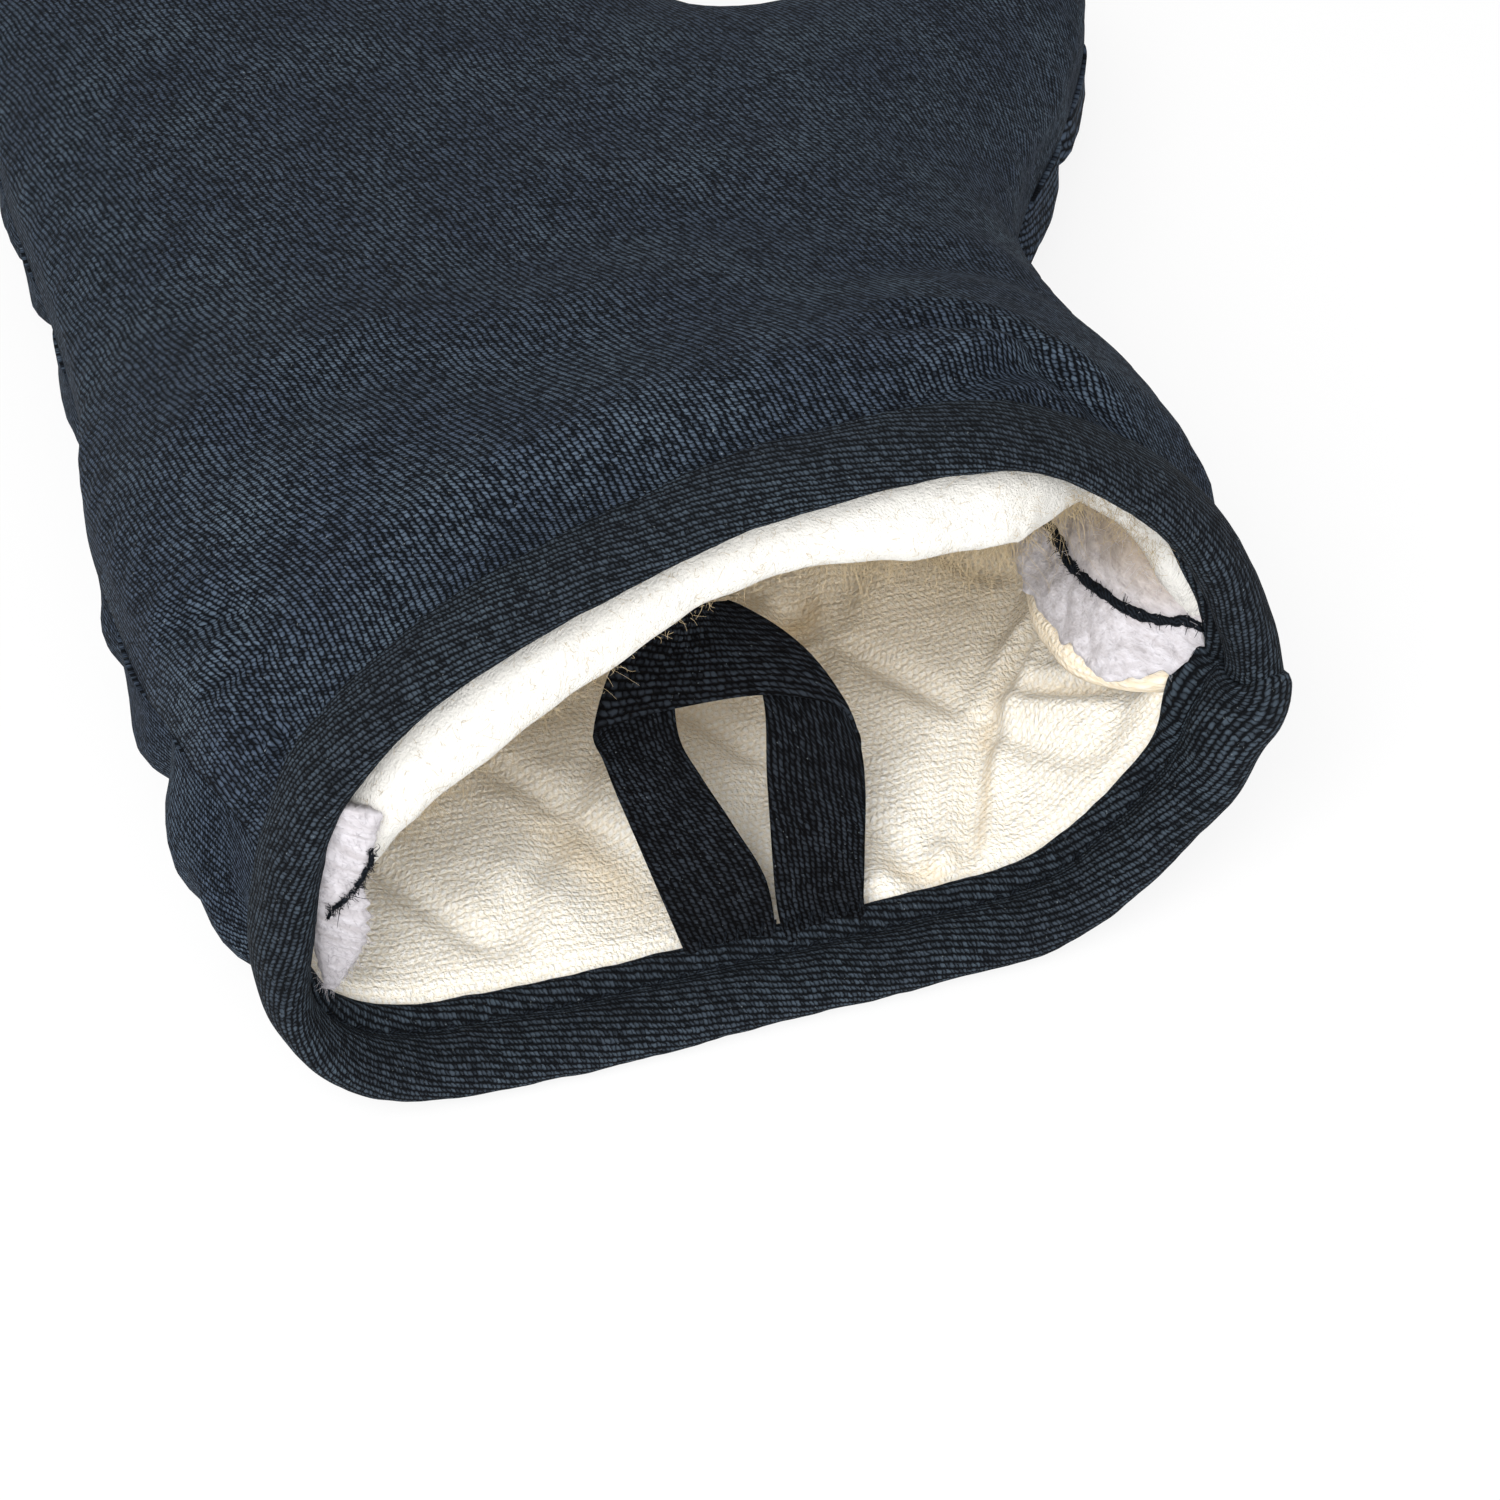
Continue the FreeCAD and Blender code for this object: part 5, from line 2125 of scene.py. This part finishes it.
# ---- threads and fibres
@dataclass
class Threads:
    """The closing seam round the mitt and the palm's quilting, both stitched onto the shell.

    Attributes:
        mitt: The cut.
        stitch: From one stitch to the next.
        gap: Between two stitches of the quilting.
        seam_stitch: Length of a stitch of the closing seam.
        thread: The threads' diameter.
        sunk: How deep the closing seam lies in its groove.
        clear: How far the quilting keeps from the outline in the cuff.
        cuff_end: Up to where on the pattern it does.
    """

    mitt: Mitt
    stitch: float = 3.2
    gap: float = 0.7
    seam_stitch: float = 2.4
    thread: float = 0.5
    sunk: float = 0.7
    clear: float = 9.0
    cuff_end: float = -128.0

    def quilting(self, panel: Panel, palette: Palette) -> None:
        """Lays white stitches in the palm's valleys.

        Args:
            panel: The palm shell.
            palette: The materials.
        """
        starts, ends, normals = [], [], []
        outline = self.mitt.pattern.outline(0.0)
        for line in self.mitt.quilting.lines(-149.0, 170.0):
            along = lengths(line)
            count = int(along[-1] / self.stitch)
            at = (np.arange(count) + 0.5) * self.stitch
            place = np.stack([np.interp(at, along, line[:, k]) for k in range(2)], 1)
            reach = (line[-1] - line[0]) / along[-1] * (self.stitch - self.gap) / 2
            edge, _ = nearest_on_line(place, outline)
            keep = inside(place, outline) & (edge > 1.6)
            keep &= (edge > self.clear) | (place[:, 1] > self.cuff_end)
            if not keep.any():
                continue
            a, _, ok_a = panel.lift(place[keep] - reach)
            b, _, ok_b = panel.lift(place[keep] + reach)
            _, n, ok = panel.lift(place[keep])
            ok &= ok_a & ok_b & (np.linalg.norm(b - a, axis=1) < self.stitch * 3)
            starts.append(a[ok])
            ends.append(b[ok])
            normals.append(n[ok])
        item = stitches("palm_quilting_stitches", np.vstack(starts), np.vstack(ends), np.vstack(normals),
                        self.thread, palette.white_thread)
        declare(item, "white_thread", "palm_quilting_thread")

    def seam(self, panel: Panel, palette: Palette) -> None:
        """Lays dark stitches in the groove of the seam.

        Args:
            panel: The back shell.
            palette: The materials.
        """
        held = np.flatnonzero(panel.edge_gap < 1e-3)
        held = held[(panel.depth[held] > 10)]
        order = held[np.argsort(panel.edge_along[held])]
        line = panel.points[order]
        along = lengths(line)
        count = int(along[-1] / self.stitch)
        at = (np.arange(count) + 0.5) * self.stitch

        def read(rows: Array, places: Array) -> Array:
            """Reads rows that belong to the line's points at places along it."""
            return np.stack([np.interp(places, along, rows[:, k]) for k in range(3)], 1)

        starts, ends = (read(line, at + way * self.seam_stitch / 2) for way in (-1, 1))
        level = unit(read(panel.normals()[order], at) * [1, 1, 0])
        item = stitches("perimeter_seam_stitches", starts - self.sunk * level,
                        ends - self.sunk * level, level, self.thread, palette.dark_thread)
        declare(item, "dark_thread", "perimeter_seam_thread")


@dataclass
class Fuzz:
    """Raised fibres along the brushed lip, longest where it is rubbed most.

    Attributes:
        seed: Of the random draws.
        tufts: Each tuft's first and last place across, its nearest and farthest depth from the lining's
            edge, and its fibres' length, number and droop.
    """

    seed: int = 11
    tufts: tuple[tuple[float, float, float, float, float, int, float], ...] = (
        (-62, 50, 5, 32, 0.8, 1500, 0.2), (-60, -20, 21, 27, 1.8, 800, 0.5),
        (-52, -36, 22, 26, 3.2, 160, 0.8),
        (14, 52, 21, 27, 3.0, 1000, 0.8), (46, 62, 8, 20, 1.5, 400, 0.3))

    def dress(self, lining: Panel, palette: Palette) -> None:
        """Grows the fibres from the cloth's inner face.

        Args:
            lining: The back lining.
            palette: The materials.
        """
        random = np.random.default_rng(self.seed)
        normal = -lining.normals()
        t = np.linspace(0, 1, 9)[:, None]
        lines = []
        for first, last, low, high, size, count, droop in self.tufts:
            where = np.flatnonzero((lining.depth > low) & (lining.depth < high) & (lining.edge_gap > 2)
                                   & (lining.points[:, 0] > first) & (lining.points[:, 0] < last))
            for k in random.choice(where, count):
                way = normal[k] + random.normal(0, 0.7, 3)
                way /= np.linalg.norm(way)
                bend, twist = random.normal(0, 0.8, 3), random.normal(0, 0.5, 3)
                length = size * random.uniform(0.4, 1.4)
                start = lining.points[k] + random.normal(0, 0.5, 3) * [1, 1, 0]
                lines.append(start + length * (way * t + bend * t ** 2 + twist * np.sin(3 * t) * t
                                               - np.array([0, 0, droop]) * t ** 2))
        item = hairs("lip_fibres", lines, 0.032, palette.fibre)
        declare(item, "terry")


# ---- studio
@dataclass
class Studio:
    """A plain white floor, soft light from three sides and the camera.

    Attributes:
        eye: The camera's place, in millimetres.
        azimuth: Its direction round the mitt, in degrees.
        elevation: How steeply it looks down, in degrees.
        lens: Its lens in millimetres on a sensor 36 mm wide.
        paper: The floor's colour, as sRGB hex.
        bare: How much of the floor that the camera sees is plain white, with no shade on it.
        ambient: The world's strength where it lights the cloth.
        lit_place: What the lamps point at, in metres.
        lamps: Name, place and width in metres, and watts: one from the upper left, a weak one from
            behind, and a low one that lights the mouth.
    """

    eye: tuple[float, float, float] = (-100.4, -453.8, 363.3)
    azimuth: float = -18.0
    elevation: float = 45.0
    lens: float = 84.0
    paper: str = "#f4f4f4"
    bare: float = 0.85
    ambient: float = 0.55
    lit_place: tuple[float, float, float] = (0.0, -0.09, 0.03)
    lamps: tuple[tuple[str, tuple[float, float, float], float, float], ...] = (
        ("key", (-0.48, -0.6, 0.8), 0.65, 9.2), ("back", (-0.4, 0.5, 1.0), 0.9, 0.5),
        ("low", (-0.05, -1.3, 0.5), 1.2, 11.0))

    def camera(self) -> None:
        """Places the camera."""
        data = bpy.data.cameras.new("camera")
        data.lens, data.sensor_width = self.lens, 36.0
        data.clip_start, data.clip_end = 0.01, 20.0
        item = link_object("camera", data)
        item.location = [v * MM for v in self.eye]
        item.rotation_euler = (math.radians(90 - self.elevation), 0, math.radians(self.azimuth))
        bpy.context.scene.camera = item

    def floor(self) -> None:
        """Lays the floor, which is white where nothing shades it."""
        material = bpy.data.materials.new("white_paper_floor")
        tree = clean_tree(material)
        paper = add_node(tree, "BsdfDiffuse", linear(self.paper))
        glow = add_node(tree, "Emission", Strength=1.0)
        part = add_node(tree, "MULTIPLY", add_node(tree, "LightPath", out="Is Camera Ray"), self.bare)
        add_node(tree, "OutputMaterial", add_node(tree, "MixShader", part, paper, glow))
        mesh = bpy.data.meshes.new("floor")
        mesh.from_pydata([(-3, -3, 0), (3, -3, 0), (3, 3, 0), (-3, 3, 0)], [], [(0, 1, 2, 3)])
        mesh.materials.append(material)
        item = link_object("floor", mesh)

    def light(self) -> None:
        """Sets a world that looks white but lights softly, and the lamps."""
        world = bpy.context.scene.world = bpy.data.worlds.new("white_studio")
        tree = clean_tree(world)
        seen = add_node(tree, "MAXIMUM", add_node(tree, "LightPath", out="Is Camera Ray"),
                        add_node(tree, "LightPath", out="Is Glossy Ray"))
        strength = add_node(tree, "MULTIPLY_ADD", seen, 1.0 - self.ambient, self.ambient)
        add_node(tree, "OutputWorld", add_node(tree, "Background", (1, 1, 1, 1), strength))
        for name, place, size, power in self.lamps:
            data = bpy.data.lights.new(name, "AREA")
            data.size, data.energy = size, power
            item = link_object(name, data)
            item.location = place
            aim = Vector(self.lit_place) - item.location
            item.rotation_euler = aim.to_track_quat("-Z", "Y").to_euler()
        bpy.context.scene.view_settings.view_transform = "Standard"


def main() -> None:
    """Builds the camera and stage, then the mitt from the outside in."""
    logging.basicConfig(level=logging.INFO, format="%(message)s")
    studio = Studio()
    studio.camera()
    studio.floor()
    studio.light()
    palette = Palette()
    mitt = Mitt()
    shell = Shell(mitt)
    back = shell.dress(Side.BACK, palette)
    palm = shell.dress(Side.PALM, palette)
    lining = Lining(mitt)
    back_lining = lining.dress(Side.BACK, palette)
    palm_lining = lining.dress(Side.PALM, palette)
    Wadding().dress(back, back_lining, palette)
    Wadding().dress(palm, palm_lining, palette)
    Binding(mitt).dress(palette)
    HangingLoop().dress(palette)
    TurnedEdge().dress(palette)
    felt = THUMB_SIDE.dress(palette, 31) + LITTLE_FINGER_SIDE.dress(palette, 57)
    declare(hairs("felt_fibres", felt, 0.03, palette.wadding), "wadding")
    threads = Threads(mitt)
    threads.quilting(palm, palette)
    threads.seam(back, palette)
    Fuzz().dress(back_lining, palette)


if __name__ == "__main__":
    main()
